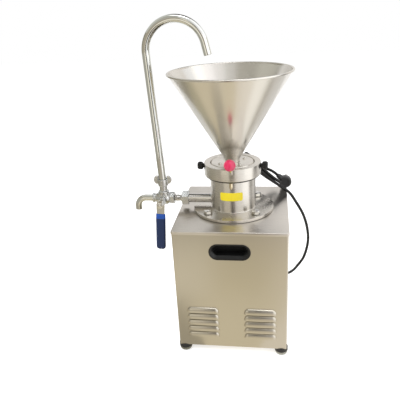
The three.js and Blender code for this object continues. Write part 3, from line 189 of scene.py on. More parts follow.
def sweep(points, radii, sides, bore=None):
    """A tube along points, with a radius for each. bore leaves it hollow."""
    bm = bmesh.new()
    points = [Vector(p) for p in points]
    count = len(points)
    ways = []
    for i in range(count):
        ways.append((points[min(i + 1, count - 1)] - points[max(i - 1, 0)]).normalized())
    side = ways[0].orthogonal().normalized()
    frames = []
    for i, way in enumerate(ways):
        if i:
            side = ways[i - 1].rotation_difference(way) @ side
        side = (side - way * side.dot(way)).normalized()
        frames.append((side.copy(), way.cross(side)))

    def skin(reaches):
        rings = []
        for point, (a, b), reach in zip(points, frames, reaches):
            ring = []
            for angle in round_angles(sides):
                spot = point + a * reach * math.cos(angle) + b * reach * math.sin(angle)
                ring.append(bm.verts.new(spot))
            rings.append(ring)
        for low, high in zip(rings, rings[1:]):
            join(bm, low, high)
        return rings[0], rings[-1]

    outer_ends = skin(radii)
    if bore:
        for outer, inner in zip(outer_ends, skin([bore] * count)):
            join(bm, outer, inner)
    else:
        for outer in outer_ends:
            bm.faces.new(outer)
    bmesh.ops.recalc_face_normals(bm, faces=bm.faces)
    return bm


def arc(centre_x, centre_z, radius, start, end, steps):
    """Points of an arc in the XZ plane."""
    made = []
    for i in range(steps + 1):
        angle = start + (end - start) * i / steps
        made.append(Vector((centre_x + radius * math.cos(angle), 0, centre_z + radius * math.sin(angle))))
    return made


def loft(rings, caps=True):
    """Faces between rings of as many points each."""
    bm = bmesh.new()
    made = [[bm.verts.new(p) for p in ring] for ring in rings]
    for low, high in zip(made, made[1:]):
        join(bm, low, high)
    if caps:
        bm.faces.new(made[0])
        bm.faces.new(made[-1])
    bmesh.ops.recalc_face_normals(bm, faces=bm.faces)
    return bm


def rounded_rect(width, depth, radius, steps):
    made = []
    for k, (sx, sy) in enumerate(((1, 1), (-1, 1), (-1, -1), (1, -1))):
        for i in range(steps + 1):
            angle = (k + i / steps) * math.pi / 2
            x = sx * (width / 2 - radius) + radius * math.cos(angle)
            y = sy * (depth / 2 - radius) + radius * math.sin(angle)
            made.append((x, y))
    return made


def stepped(width, depth, corner, steps, stations):
    """A body with round corners whose outline is drawn in at (inset, height) stations."""
    rings = []
    for inset, z in stations:
        outline = rounded_rect(width - 2 * inset, depth - 2 * inset, corner - inset, steps)
        rings.append([(x, y, z) for x, y in outline])
    return loft(rings)


def hex_prism(flats, low, high, both_ends=False, bore=None):
    """A hexagonal head or nut with a corner along X. Its corners are turned off on top, or at both ends."""
    sides = 72
    chamfer_radius = flats / 2 * 0.965
    slope = math.tan(math.radians(30))
    rings = []

    def ring(height, radius=None, lift=0):
        """With no radius it follows the hexagon. lift is 1 or -1 where it follows the chamfer."""
        made = []
        for angle in round_angles(sides):
            hexagon = flats / 2 / math.cos(math.fmod(angle, math.pi / 3) - math.pi / 6)
            z = height + lift * (hexagon - chamfer_radius) * slope
            made.append(polar(radius or hexagon, angle, z))
        rings.append(made)

    if bore:
        ring(low, bore)
    if both_ends:
        ring(low, chamfer_radius)
    ring(low, lift=int(both_ends))
    ring(high, lift=-1)
    ring(high, chamfer_radius)
    if not bore:
        return loft(rings)
    ring(high, bore)
    rings.append(rings[0])
    bm = loft(rings, caps=False)
    bmesh.ops.remove_doubles(bm, verts=bm.verts, dist=1e-4)
    return bm


def merged(*meshes):
    """Several meshes as one."""
    whole = bmesh.new()
    for bm in meshes:
        part = bpy.data.meshes.new("part")
        bm.to_mesh(part)
        bm.free()
        whole.from_mesh(part)
        bpy.data.meshes.remove(part)
    return whole


def cast(bm, voxel):
    """Fuses overlapping bodies and softens where they meet, as in a casting."""
    mesh = bpy.data.meshes.new("cast")
    bm.to_mesh(mesh)
    bm.free()
    obj = bpy.data.objects.new("cast", mesh)
    bpy.context.scene.collection.objects.link(obj)
    fuse = obj.modifiers.new("fuse", "REMESH")
    fuse.mode = "VOXEL"
    fuse.voxel_size = voxel
    ease = obj.modifiers.new("ease", "SMOOTH")
    ease.factor = 0.6
    ease.iterations = 3
    fused = bpy.data.meshes.new_from_object(obj.evaluated_get(bpy.context.evaluated_depsgraph_get()))
    made = bmesh.new()
    made.from_mesh(fused)
    bpy.data.objects.remove(obj)
    bpy.data.meshes.remove(mesh)
    bpy.data.meshes.remove(fused)
    return made


def new_object(name, bm, material):
    mesh = bpy.data.meshes.new(name)
    bm.to_mesh(mesh)
    bm.free()
    mesh.materials.append(material)
    obj = bpy.data.objects.new(name, mesh)
    bpy.context.scene.collection.objects.link(obj)
    return obj


def add(name, bm, body, material, replaces=(), place=Matrix(), sharp=SHARP):
    """A new piece on a body, from a mesh in millimetres about the mill's axis."""
    bm.transform(MILL @ place)
    limit = math.radians(sharp)
    for edge in bm.edges:
        edge.smooth = len(edge.link_faces) == 2 and edge.calc_face_angle(0) < limit
    for face in bm.faces:
        face.smooth = True
    obj = new_object(name, bm, material)
    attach(obj, body)
    if replaces:
        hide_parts(*replaces)
    return obj


def round_edges(obj, width):
    edge = obj.modifiers.new("edges", "BEVEL")
    edge.width = width / 1000
    edge.segments = 2
    edge.limit_method = "ANGLE"
    edge.angle_limit = math.radians(SHARP)
    edge.harden_normals = True


# Materials


def feed(tree, node, inputs):
    """Sets a node's inputs, each to a value or to another node's output."""
    for key, value in inputs.items():
        if isinstance(value, bpy.types.NodeSocket):
            tree.links.new(value, node.inputs[key])
        else:
            node.inputs[key].default_value = value
    return node


def new_node(tree, kind, inputs):
    return feed(tree, tree.nodes.new("ShaderNode" + kind), inputs)


def empty_material(name):
    material = bpy.data.materials.new(name)
    material.use_nodes = True
    material.node_tree.nodes.clear()
    return material, material.node_tree


def new_material(name, colour, metallic, roughness, **inputs):
    material = bpy.data.materials.new(name)
    material.use_nodes = True
    tree = material.node_tree
    shader = tree.nodes["Principled BSDF"]
    feed(tree, shader, {"Base Color": (*colour, 1), "Metallic": metallic, "Roughness": roughness})
    feed(tree, shader, {key.replace("_", " "): value for key, value in inputs.items()})
    return material, tree, shader


def noise(tree, scale, stretch, detail):
    """Noise over the row frame, so that it neither slides nor depends on a map."""
    where = new_node(tree, "TexCoord", {})
    mapping = new_node(tree, "Mapping", {"Vector": where.outputs["Object"], "Scale": stretch})
    inputs = {"Vector": mapping.outputs["Vector"], "Scale": scale, "Detail": detail}
    return new_node(tree, "TexNoise", inputs).outputs["Fac"]


def spread(tree, value, low, high):
    """Noise, which seldom leaves 0.3 to 0.7, spread over a range."""
    inputs = {"Value": value, "From Min": 0.3, "From Max": 0.7, "To Min": low, "To Max": high}
    return new_node(tree, "MapRange", inputs).outputs["Result"]


def tinted(tree, shader, value, dark, light):
    mix = tree.nodes.new("ShaderNodeMix")
    mix.data_type = "RGBA"
    feed(tree, mix, {"Factor": value, "A": (*dark, 1), "B": (*light, 1)})
    feed(tree, shader, {"Base Color": mix.outputs["Result"]})


def bumped(tree, shader, value, strength, distance):
    bump = new_node(tree, "Bump", {"Height": value, "Strength": strength, "Distance": distance})
    feed(tree, shader, {"Normal": bump.outputs["Normal"]})


def shaded(colour, change):
    """A colour's darker and lighter forms."""
    return [c * (1 - change) for c in colour], [min(c * (1 + change), 1) for c in colour]


def steel(name, colour, roughness, stretch, scale, grain, relief, cloud, height=0.0002):
    """Metal. stretch is low along the lines of its grain and high across them."""
    material, tree, shader = new_material(name, colour, 1, roughness)
    lines = noise(tree, scale, stretch, 4)
    feed(tree, shader, {"Roughness": spread(tree, lines, roughness - grain, roughness + grain)})
    patches = spread(tree, noise(tree, 9, (1, 1, 0.6), 2), 0, 1)
    tinted(tree, shader, patches, *shaded(colour, cloud))
    if relief:
        bumped(tree, shader, lines, relief, height)
    return material


def plastic(name, colour, roughness, mottle=0.1, relief=0.1, scale=900, **inputs):
    material, tree, shader = new_material(name, colour, 0, roughness, **inputs)
    fine = noise(tree, scale, (1, 1, 1), 3)
    tinted(tree, shader, spread(tree, fine, 0, 1), *shaded(colour, mottle))
    wear = noise(tree, 25, (1, 1, 1), 3)
    feed(tree, shader, {"Roughness": spread(tree, wear, roughness - 0.06, roughness + 0.06)})
    bumped(tree, shader, fine, relief, 0.0001)
    return material


def copper(name):
    """Windings, whose turns show as level lines."""
    material, tree, shader = new_material(name, (0.35, 0.12, 0.04), 0.6, 0.4)
    tinted(tree, shader, noise(tree, 60, (1, 1, 30), 2), (0.2, 0.06, 0.02), (0.45, 0.18, 0.07))
    return material


def draw_out(material):
    """Draws highlights out across fine marks that run round a piece's own upright axis."""
    tree = material.node_tree
    round_axis = tree.nodes.new("ShaderNodeTangent")
    round_axis.direction_type = "RADIAL"
    round_axis.axis = "Z"
    inputs = {"Anisotropic": 0.8, "Anisotropic Rotation": 0.25, "Tangent": round_axis.outputs["Tangent"]}
    feed(tree, tree.nodes["Principled BSDF"], inputs)


# Metals: colour, roughness, stretch, scale, grain, relief, cloud
# The sheet's warm khaki tone is partly its own and partly a painted reflection of the warm floor before the
# cabinet.
SHEET_REFLECTION_TINTED = steel("sheet_steel_reflection_tint", (0.60, 0.565, 0.49), 0.30, (1, 1, 60), 60, 0.015, 0.004, 0.015)
LID = steel("lid_steel", (0.66, 0.625, 0.58), 0.30, (1, 60, 1), 12, 0.03, 0.01, 0.03)
TURNED = steel("turned_steel", (0.66, 0.63, 0.58), 0.28, (1, 1, 90), 40, 0.02, 0.008, 0.02)
PIPEWORK = steel("pipework_steel", (0.62, 0.605, 0.59), 0.12, (1, 1, 1), 40, 0.02, 0.008, 0.02)
SPUN = steel("spun_steel", (0.68, 0.65, 0.60), 0.24, (1, 1, 60), 25, 0.012, 0.003, 0.015)
TUBE = steel("tube_steel", (0.70, 0.705, 0.67), 0.08, (1, 1, 1), 30, 0.02, 0, 0.02)
CAST = steel("cast_steel", (0.67, 0.68, 0.68), 0.10, (1, 1, 1), 260, 0.04, 1, 0.05, height=0.0005)
GRINDING = steel("grinding_steel", (0.45, 0.45, 0.44), 0.35, (1, 1, 40), 60, 0.05, 0.05, 0.04)
FASTENER = steel("fastener_steel", (0.78, 0.77, 0.74), 0.11, (1, 1, 1), 120, 0.03, 0.03, 0.04)
# Washers much darker than the bolts: painted shade round the bolt heads.
WASHER_PAINTED_SHADE = steel("washer_steel_painted_shade", (0.30, 0.285, 0.26), 0.35, (1, 1, 1), 120, 0.04, 0.03, 0.04)
FOOT_STEEL = steel("foot_steel", (0.38, 0.395, 0.37), 0.26, (1, 1, 1), 80, 0.04, 0.03, 0.05)
PLAIN = steel("plain_steel", (0.42, 0.42, 0.41), 0.42, (1, 1, 8), 60, 0.06, 0.04, 0.06)
CAN = steel("can_aluminium", (0.62, 0.62, 0.62), 0.35, (1, 1, 20), 60, 0.05, 0.03, 0.04)
BRASS = steel("pointer_brass", (0.74, 0.64, 0.46), 0.14, (1, 1, 1), 60, 0.03, 0.02, 0.04)
for finish in (LID, TURNED):
    draw_out(finish)

# Plastics, rubber and paint: colour, roughness, mottle, relief, scale
BLACK = plastic("black_plastic", (0.008, 0.008, 0.008), 0.34, Specular_IOR_Level=0.35)
GLOSS_BLACK = plastic("gloss_black", (0.01, 0.01, 0.01), 0.2, 0.05, 0.02)
# Black rubber for the feet, whose dark tops also stand in for the shadow under the cabinet.
RUBBER_AND_SHADE = plastic("foot_rubber", (0.02, 0.02, 0.02), 0.55, 0.2, 0.2)
CORD = plastic("cord_rubber", (0.007, 0.007, 0.0075), 0.28, 0.1, 0.05, Specular_IOR_Level=0.3)
PLUG = plastic("plug_rubber", (0.042, 0.042, 0.044), 0.27, 0.1, 0.15, Specular_IOR_Level=0.5)
# Dark fibre for the flange gasket, also used as painted shadow under the adjusting ring.
GASKET_AND_SHADOW = plastic("gasket_fibre", (0.03, 0.028, 0.025), 0.8, 0.2, 0.3)
RED = plastic("red_gloss", (0.76, 0.018, 0.11), 0.16, 0.03, 0.01, Coat_Weight=0.6)
BLUE = plastic("blue_vinyl", (0.003, 0.022, 0.10), 0.42, 0.05, 0.1, 500)
# A lighter copy of the sleeve's blue for its sloping shoulder: a painted highlight where the top catches the
# light.
PAINTED_HIGHLIGHT_BLUE = plastic("blue_vinyl_painted_highlight", (0.004, 0.075, 0.40), 0.34, 0.05, 0.1, 500)
YELLOW = plastic("yellow_label", (1.0, 0.80, 0.02), 0.45, 0.03, 0.02)
PAINT = plastic("motor_paint", (0.14, 0.155, 0.17), 0.45, 0.1, 0.3, 300)

BY_SLOT = {
    "stainless_sheet": SHEET_REFLECTION_TINTED,
    "turned_steel": TURNED,
    "hopper_steel": SPUN,
    "pipe_steel": TUBE,
    "cast_steel": CAST,
    "grinding_steel": GRINDING,
    "fastener_steel": FASTENER,
    "plain_steel": PLAIN,
    "capacitor_can": CAN,
    "motor_paint": PAINT,
    "winding": copper("winding"),
    "black_plastic": BLACK,
    "switch_plastic": GLOSS_BLACK,
    "foot_rubber": RUBBER_AND_SHADE,
    "gasket_fibre": GASKET_AND_SHADOW,
    "cord_rubber": CORD,
    "plug_rubber": PLUG,
    "red_gloss": RED,
    "blue_vinyl": BLUE,
}

# How wide the edges of CAD nodes are rounded
EDGES = {
    "cabinet_shell": 0.5,
    "back_panel": 0.5,
    "base_plate": 0.3,
    "mounting_plate": 0.5,
    "valve_lever": 0.5,
    "switch_housing": 0.6,
    "switch_rocker": 0.3,
    "terminal_box": 0.8,
    "lever_nut": 0.5,
}


def dress_cad_nodes():
    """The CAD nodes that stay get the finish of their slot, flat faces and softened edges."""
    slots = {part["node"]: part["material_slot"] for part in frame["record"]["subparts"]}
    for name, obj in frame["nodes"].items():
        obj.data.materials.clear()
        obj.data.materials.append(BY_SLOT[slots[name]])
        for polygon in obj.data.polygons:
            polygon.use_smooth = True
        obj.data.set_sharp_from_angle(angle=math.radians(SHARP))
        if name in EDGES:
            flat = obj.modifiers.new("flat", "DECIMATE")
            flat.decimate_type = "DISSOLVE"
            flat.angle_limit = math.radians(0.5)
            round_edges(obj, EDGES[name])


# Mains lead

CORD_RADIUS = 3.5
HANK_RUN = 66
HANK_RADIUS = 31.5
HANK_PITCH = 7.65
HANK_FOLDS = 10
HANK_REVERSE = 5.5  # where the winding turns back outward, in a second layer
HANK_BOW = 380
HANK_MIDDLE = Vector((60.5, 99, 368))
HANK_ALONG = Vector((-0.66, -0.26, 0.71)).normalized()
HANK_WIDTH = Vector((-0.25, 0.93, -0.22))
HANK_WIDTH = (HANK_WIDTH - HANK_ALONG * HANK_WIDTH.dot(HANK_ALONG)).normalized()
HANK_NORMAL = HANK_WIDTH.cross(HANK_ALONG)
GLAND = Vector((60, BACK_FACE, 150))
GLAND_TIP = 31
PLUG_RADIUS = 15.5
PLUG_MIDDLE = Vector((122, 129.5, 331.8))
PLUG_EXIT = Vector((-0.74, -0.05, 0.67)).normalized()
RELIEF_LENGTH = 11
GLAND_TO_HANK = (
    (60.2, 183.6, 148.5), (60.7, 193, 145.1), (61.8, 202.6, 138.4), (63.4, 210.3, 128.5),
    (66.6, 215.7, 111.4), (75.7, 209.5, 74.7), (87.6, 194.6, 54.6), (103.1, 184.2, 40.4),
    (118.4, 173.1, 36.4), (133.1, 161.4, 41.8), (147.2, 149.4, 57.8), (160.8, 137, 84),
    (174.8, 124, 118), (183.2, 113, 173), (177.6, 105, 220.4), (167.4, 100, 253.6),
    (159.1, 96, 271.4), (146.8, 92.5, 293.6), (138.6, 91, 307.5), (131, 90, 317.6),
    (121.8, 88.4, 325.7),
)
HANK_TO_PLUG = ((47.1, 126.5, 378.7), (54.4, 129.2, 374), (63.6, 130.8, 370.2), (86.9, 128.2, 361.4))


def hank_point(travelled):
    """Where the cord's middle line lies in the hank. Every fourth stretch goes up, over, down or round."""
    stretch = min(int(travelled), HANK_FOLDS - 1)
    share = travelled - stretch
    radius = HANK_RADIUS - HANK_PITCH / 4 * (HANK_REVERSE - abs(travelled - HANK_REVERSE))
    layer = HANK_PITCH * min(max(travelled - HANK_REVERSE + 0.5, 0), 1)
    turn = math.pi * share
    half = HANK_RUN / 2
    along, across = (
        (HANK_RUN * share - half, -radius),
        (half + radius * math.sin(turn), -radius * math.cos(turn)),
        (half - HANK_RUN * share, radius),
        (-half - radius * math.sin(turn), radius * math.cos(turn)),
    )[stretch % 4]
    bend = along / HANK_BOW
    bow = HANK_BOW - layer
    return (
        HANK_MIDDLE
        + HANK_ALONG * (bow * math.sin(bend))
        + HANK_NORMAL * (HANK_BOW - bow * math.cos(bend))
        + HANK_WIDTH * across
    )


def hank_heading(along):
    bend = along / HANK_BOW
    return HANK_ALONG * math.cos(bend) + HANK_NORMAL * math.sin(bend)


def blend(a, b, start, end, t):
    """From a at start to b at end."""
    return a * ((end - t) / (end - start)) + b * ((t - start) / (end - start))


def catmull(points, steps=8):
    """Centripetal Catmull-Rom points through those given."""
    ends = [points[0] * 2 - points[1], *points, points[-1] * 2 - points[-2]]
    made = []
    for a, b, c, d in zip(ends, ends[1:], ends[2:], ends[3:]):
        t0 = 0
        t1 = t0 + (b - a).length ** 0.5
        t2 = t1 + (c - b).length ** 0.5
        t3 = t2 + (d - c).length ** 0.5
        for k in range(steps):
            t = t1 + (t2 - t1) * k / steps
            p = blend(a, b, t0, t1, t)
            q = blend(b, c, t1, t2, t)
            r = blend(c, d, t2, t3, t)
            u = blend(p, q, t0, t2, t)
            v = blend(q, r, t1, t3, t)
            made.append(blend(u, v, t1, t2, t))
    made.append(points[-1])
    return made


def lead_route():
    """The cord's middle line from the gland through the hank to the plug."""
    straight = 2 * CORD_RADIUS
    hank_steps = 24
    start = GLAND + Vector((0, GLAND_TIP + GAP, 0))
    up = -hank_heading(-HANK_RUN / 2)
    hank_start = hank_point(0) + up * straight
    down = -hank_heading(HANK_RUN / 2)
    hank_end = hank_point(HANK_FOLDS) + down * straight
    first = catmull([
        start + Vector((0, straight, 0)),
        *map(Vector, GLAND_TO_HANK),
        hank_start + up * 2 * straight,
        hank_start + up * straight,
    ])
    hank = [hank_point(i / hank_steps) for i in range(hank_steps * HANK_FOLDS + 1)]
    far = PLUG_MIDDLE + PLUG_EXIT * (PLUG_RADIUS + RELIEF_LENGTH)
    last = catmull([hank_end + down * straight, *map(Vector, HANK_TO_PLUG), far + PLUG_EXIT * straight])
    return [start, *first, hank_start, *hank, hank_end, *last, far + PLUG_EXIT * GAP]


def relief_ribs(count, first, pitch, height, proud, start, end):
    """Ribs round a strain relief that tapers from one (radius, height) to another."""
    ribs = []
    for i in range(count):
        z = first + pitch * i
        reach = blend(start[0], end[0], start[1], end[1], z) + proud
        top = z + height
        section = [(reach - 1.2, z), (reach, z, 0.5), (reach - 0.1, top, 0.5), (reach - 1.3, top)]
        ribs.append(lathe(section, 40))
    return ribs


def make_lead():
    points = [MILL @ point for point in lead_route()]
    curve = bpy.data.curves.new("mains_lead", "CURVE")
    curve.dimensions = "3D"
    curve.bevel_depth = CORD_RADIUS / 1000
    curve.bevel_resolution = 5
    curve.use_fill_caps = True
    spline = curve.splines.new("POLY")
    spline.points.add(len(points) - 1)
    for place, point in zip(spline.points, points):
        place.co = (*point, 1)
    spline.use_smooth = True
    lead = bpy.data.objects.new("mains_lead", curve)
    bpy.context.scene.collection.objects.link(lead)
    curve.materials.append(CORD)
    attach(lead, "cabinet")
    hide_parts("cord_lead", "cord_hank", "cord_tail")
    make_gland()
    plug = make_plug()


def make_gland():
    place = at(*GLAND) @ TO_BACK
    root, tip = (6.2, 5), (CORD_RADIUS + 1, GLAND_TIP)
    relief = lathe([
        (0, -7), (6, -7), (6, 0), (9, 0, 0.4), (9, 3, 1), (6.8, 3, 0.8), root, (*tip, 0.6),
        (CORD_RADIUS, GLAND_TIP), (0, GLAND_TIP - 1),
    ], 48)
    add("gland_relief", relief, "cabinet", CORD, ["cord_gland"], place)
    ribs = relief_ribs(6, 7, 3.6, 1.8, 0.7, root, tip)
    add("gland_ribs", merged(*ribs), "cabinet", CORD, (), place)


def make_plug():
    half = 8
    groove = PLUG_RADIUS - 0.8
    body = lathe([
        (0, -half + 1.4), (PLUG_RADIUS - 5.5, -half + 1.4, 0.5), (PLUG_RADIUS - 5, -half, 0.5),
        (PLUG_RADIUS - 2.2, -half, 1), (PLUG_RADIUS, -half + 2.2, 1.5), (PLUG_RADIUS, -0.8, 0.3),
        (groove, -0.4, 0.3), (groove, 0.4, 0.3), (PLUG_RADIUS, 0.8, 0.3), (PLUG_RADIUS, half - 2, 0.4),
        (PLUG_RADIUS - 0.9, half - 1.7, 0.3), (PLUG_RADIUS - 0.9, half, 0.5), (0, half),
    ])
    plug = add("plug_body", body, "cabinet", PLUG, ["plug"], at(*PLUG_MIDDLE) @ TO_BACK)
    root, narrow, low, tip = 7, 4.7, PLUG_RADIUS - 4, PLUG_RADIUS + RELIEF_LENGTH
    relief = lathe([
        (0, low), (7.6, low), (root, PLUG_RADIUS + 1, 1), (narrow, tip, 0.6), (CORD_RADIUS, tip),
        (0, tip - 1),
    ], 40)
    ribs = relief_ribs(3, PLUG_RADIUS + 2, 2.9, 1.7, 0.6, (root, PLUG_RADIUS), (narrow, tip))
    turn = Vector((0, 0, 1)).rotation_difference(PLUG_EXIT).to_matrix().to_4x4()
    add("plug_relief", merged(relief, *ribs), "cabinet", PLUG, (), at(*PLUG_MIDDLE) @ turn)
    pin_radius, pin_length, from_middle = 2.4, 19, 9.5
    pins = []
    for side in (-1, 1):
        end = half + pin_length
        pin = lathe([(0, half - 1), (pin_radius, half - 1), (pin_radius, end - 1, 1.6), (0, end)], 24)
        pin.transform(turned_by(17, "Y") @ at(0, 0, side * from_middle) @ TO_BACK)
        pins.append(pin)
    add("plug_pins", merged(*pins), "cabinet", FASTENER, (), at(*PLUG_MIDDLE))
    return plug


# Mill head


def make_hopper():
    bore, neck, low = 15.3, 16.8, 421.8
    rim_radius, rim_z, bead_radius = 132.6, 628.5, 2.5
    wall_end = 626.2
    bead_start, bead_turn, steps = -115, 295, 14
    bead = []
    for i in range(steps + 1):
        angle = math.radians(bead_start + i * bead_turn / steps)
        bead.append((rim_radius + bead_radius * math.cos(angle), rim_z + bead_radius * math.sin(angle)))
    section = [
        (bore, low), (neck, low, 0.3), (neck, 437, 9), (130.98, wall_end), *bead,
        (129.23, wall_end), (bore, 437.9, 9),
    ]
    cone = lathe(section, 160, steps=6)
    add("hopper_cone", cone, "hopper_unit", SPUN, ["hopper"], sharp=50)


def make_barrel():
    chamber, spigot, seat, bore = 44, 47.7, 24, 17.8
    barrel = lathe([
        (chamber, BARREL_TOP), (BARREL_RADIUS, BARREL_TOP, 0.5), (BARREL_RADIUS, FLANGE_TOP, 2.5),
        (FLANGE_RADIUS, FLANGE_TOP, 0.9), (FLANGE_RADIUS, FLANGE_LOW, 0.6), (spigot, FLANGE_LOW),
        (spigot, 309.5), (seat, 309.5), (seat, 313), (bore, 313), (bore, 329), (chamber, 329),
    ], 160)
    add("barrel_and_flange", barrel, "cabinet", TURNED, ["mill_body"])


def make_outlet():
    collar_start, inner_end = COLLAR_END + 2.2, -46
    pipe = lathe([
        (OUTLET_BORE, COLLAR_END), (COLLAR_RADIUS, COLLAR_END, 0.5), (COLLAR_RADIUS, collar_start, 0.5),
        (OUTLET_RADIUS, collar_start, 0.5), (OUTLET_RADIUS, inner_end), (OUTLET_BORE, inner_end),
    ], 64)
    add("outlet_pipe", pipe, "cabinet", PIPEWORK, (), OUTLET)
    steps, ripples, thickness, ripple, sunk = 96, 24, 1.35, 0.18, 0.2
    reach = OUTLET_RADIUS + 0.4
    bead = []
    radii = []
    for i in range(steps + 1):
        angle = 2 * math.pi * i / steps
        y = reach * math.cos(angle)
        x = -math.sqrt(BARREL_RADIUS**2 - y**2) - sunk
        bead.append((x, y, OUTLET_Z + reach * math.sin(angle)))
        radii.append(thickness + ripple * math.cos(ripples * angle))
    add("outlet_weld", sweep(bead, radii, 10), "cabinet", CAST)


def make_flange_bolts():
    flats, head_top, washer_top, washer_radius, hole = 16, 331, 324.6, 10, 5.2
    for i, corner in enumerate(("front_left", "front_right", "back_right", "back_left")):
        angle = (2 * i - 3) * math.pi / 4
        twist = 0.35 + i
        spot = at(*polar(BOLT_CIRCLE, angle, 0)) @ Matrix.Rotation(twist, 4, "Z")
        head = hex_prism(flats, washer_top, head_top)
        add("bolt_" + corner, head, "cabinet", FASTENER, ["flange_bolt_" + corner], spot)
        # The washers' dark steel is painted shade round each head.
        washer = lathe([
            (hole, FLANGE_TOP), (washer_radius, FLANGE_TOP, 0.3), (washer_radius, washer_top, 0.4),
            (hole, washer_top),
        ], 48)
        add("washer_" + corner, washer, "cabinet", WASHER_PAINTED_SHADE, (), spot)


def make_ring():
    skirt, lip, lip_low, foot = 51.8, 49.6, 424.3, 59.6
    ring = lathe([
        (skirt, RING_LOW, 0.3), (foot, RING_LOW, 0.4), (RING_RADIUS, RING_LOW + 4.6, 0.4),
        (RING_RADIUS, RING_TOP, 1.2), (lip + 1.1, RING_TOP, 0.4), (lip, RING_TOP - 2.5), (lip, lip_low),
        (skirt, lip_low),
    ], 160)
    add("ring_body", ring, "ring", TURNED, ["adjusting_ring"])
    # A black band in the ring's lower chamfer: painted shadow standing for the dark line under the ring.
    shadow_band = lathe([(58.8, 398.8), (59.5, 397.7, 0.3), (63.2, 401.2, 0.3), (62.6, 402)], 160)
    add("ring_shadow_band", shadow_band, "ring", GASKET_AND_SHADOW)


def make_carrier():
    """The stator's carrier disc in the ring, with the hopper's socket in its middle."""
    bore, socket, plate_low, rim = 15, 17.1, 425.3, 48.8
    disc = lathe([
        (bore, 419.3), (19.5, 419.3, 0.3), (19.5, plate_low), (rim, plate_low, 0.3), (rim, plate_low + 1.3),
        (rim - 1.8, RING_TOP, 0.3), (socket, RING_TOP, 0.4), (socket, 421.5), (bore, 421.5),
    ], 128)
    add("carrier_disc", disc, "stator_unit", TURNED, ["stator_carrier"])
    screw_circle, first_screw, head_radius, head_height = 32, 35, 4.1, 2.6
    for i in range(4):
        angle = math.radians(first_screw + 90 * i)
        spot = at(*polar(screw_circle, angle, RING_TOP))
        head = lathe([
            (0, 0.9), (2, 0.9), (2.2, head_height, 0.2), (head_radius - 0.2, head_height, 0.5),
            (head_radius, 0, 0.2), (0, 0),
        ], 32)
        add("carrier_screw_" + str(i + 1), head, "stator_unit", FASTENER, (), spot)


def make_ring_lever():
    """The rod that turns the ring, with its red ball. It leaves the ring's side and rises to the front."""
    rod_radius, rod_start, rod_end, ball_radius, ball_reach = 3.5, -9, 48, 12.5, 55
    leaves_at = 422
    azimuth, rise = math.radians(-88), math.radians(37.4)
    outward = Vector(polar(1, azimuth, 0))
    way = outward * math.cos(rise) + Vector((0, 0, math.sin(rise)))
    start = outward * RING_RADIUS + Vector((0, 0, leaves_at))
    lean = Vector((0, 0, 1)).rotation_difference(way).to_matrix().to_4x4()
    rod = lathe([
        (0, rod_start), (rod_radius, rod_start), (rod_radius, rod_end - 2), (rod_radius - 0.5, rod_end, 0.5),
        (0, rod_end),
    ], 40)
    add("lever_shaft", rod, "ring", FASTENER, ["lever_rod"], at(*start) @ lean)
    knob = bmesh.new()
    bmesh.ops.create_uvsphere(knob, u_segments=64, v_segments=32, radius=ball_radius)
    place = at(*(start + way * ball_reach)) @ lean
    add("lever_knob", knob, "ring", RED, ["lever_ball"], place, sharp=80)


def make_locking_knobs():
    """Lobed grips. Their sections run outward from the mill's axis."""
    for side, turn in (("left", -90), ("right", 90)):
        grip = lathe([
            (0, 51.8), (3, 51.8), (3, 64.5), (5.4, 64.5, 0.3), (4.6, 67.2, 0.4), (7.4, 67.4, 0.8),
            (9.3, 70.5, 1), (9.3, 76.5, 1.2), (6.8, 79.6, 1.5), (0, 80),
        ], lobes=(8, 1.1, 7))
        place = at(0, 0, KNOB_Z) @ turned_by(turn, "Y")
        node = "locking_knob_" + side
        add("knob_grip_" + side, grip, "knob_" + side, BLACK, [node], place, sharp=45)


def make_label():
    """A blank sticker bent round the barrel's front, with round corners."""
    width, low, high, thickness, corner = 52, 352.5, 372, 0.2, 3
    near = BARREL_RADIUS + 0.02
    columns, rows = 28, 10
    rings = []
    for r in range(rows + 1):
        z = low + (high - low) * (r / rows)
        edge = min(z - low, high - z, corner)
        half = width / 2 - corner + math.sqrt(corner**2 - (corner - edge) ** 2)
        angles = [half / near * (2 * c / columns - 1) - math.pi / 2 for c in range(columns + 1)]
        outline = [(near + thickness, angle) for angle in angles] + [(near, angle) for angle in angles[::-1]]
        rings.append([polar(reach, angle, z) for reach, angle in outline])
    add("blank_label", loft(rings), "cabinet", YELLOW)


def make_pointer():
    """A half-round brass pointer under the ring, tapered to its tip."""
    tip, shoulder, top, radius = 380.4, 387, 395.8, 4
    rings = []
    for z in (tip, tip + 0.4, tip + 1.2, tip + 2.4, tip + 4, shoulder, top - 0.8, top):
        drop = max(shoulder - z, 0) / (shoulder - tip + 0.1)
        reach = radius * math.sqrt(1 - drop**2) - (0.5 if z == top else 0)
        ring = []
        for i in range(13):
            angle = math.pi * (1 + i / 12)
            y = -BARREL_RADIUS - GAP + reach * 1.05 * math.sin(angle)
            ring.append((reach * math.cos(angle), y, z))
        rings.append(ring)
    add("pointer_pin", loft(rings), "cabinet", BRASS, ["pointer"])


# Outlet and return pipe


def make_union():
    flats, nut_left, nut_right, nut_bore = 31.6, -120.4, -104.2, 10.8
    nut = hex_prism(flats, nut_left, nut_right, both_ends=True, bore=nut_bore)
    place = at(0, 0, OUTLET_Z) @ HEX_UP
    add("union_hex", nut, "cabinet", CAST, ["union_nut"], place)
    bore, tail, crest, root = 5.5, 7, 7.9, 5.9
    threads = []
    for i in range(3):
        x = -139.4 + 2.4 * i
        threads += [(root, x), (root, x + 0.5), (crest, x + 1.2, 0.2), (crest, x + 1.8, 0.2)]
    seat = COLLAR_END - GAP
    nipple = lathe([
        (bore, -147), (tail, -147), (tail, -140), *threads, (tail, -125), (8.6, -122.5, 1), (8.6, -119.9),
        (COLLAR_RADIUS, -119.8), (COLLAR_RADIUS, seat), (bore, seat),
    ], 48)
    add("nipple_tail", nipple, "cabinet", PIPEWORK, ["nipple"], OUTLET)


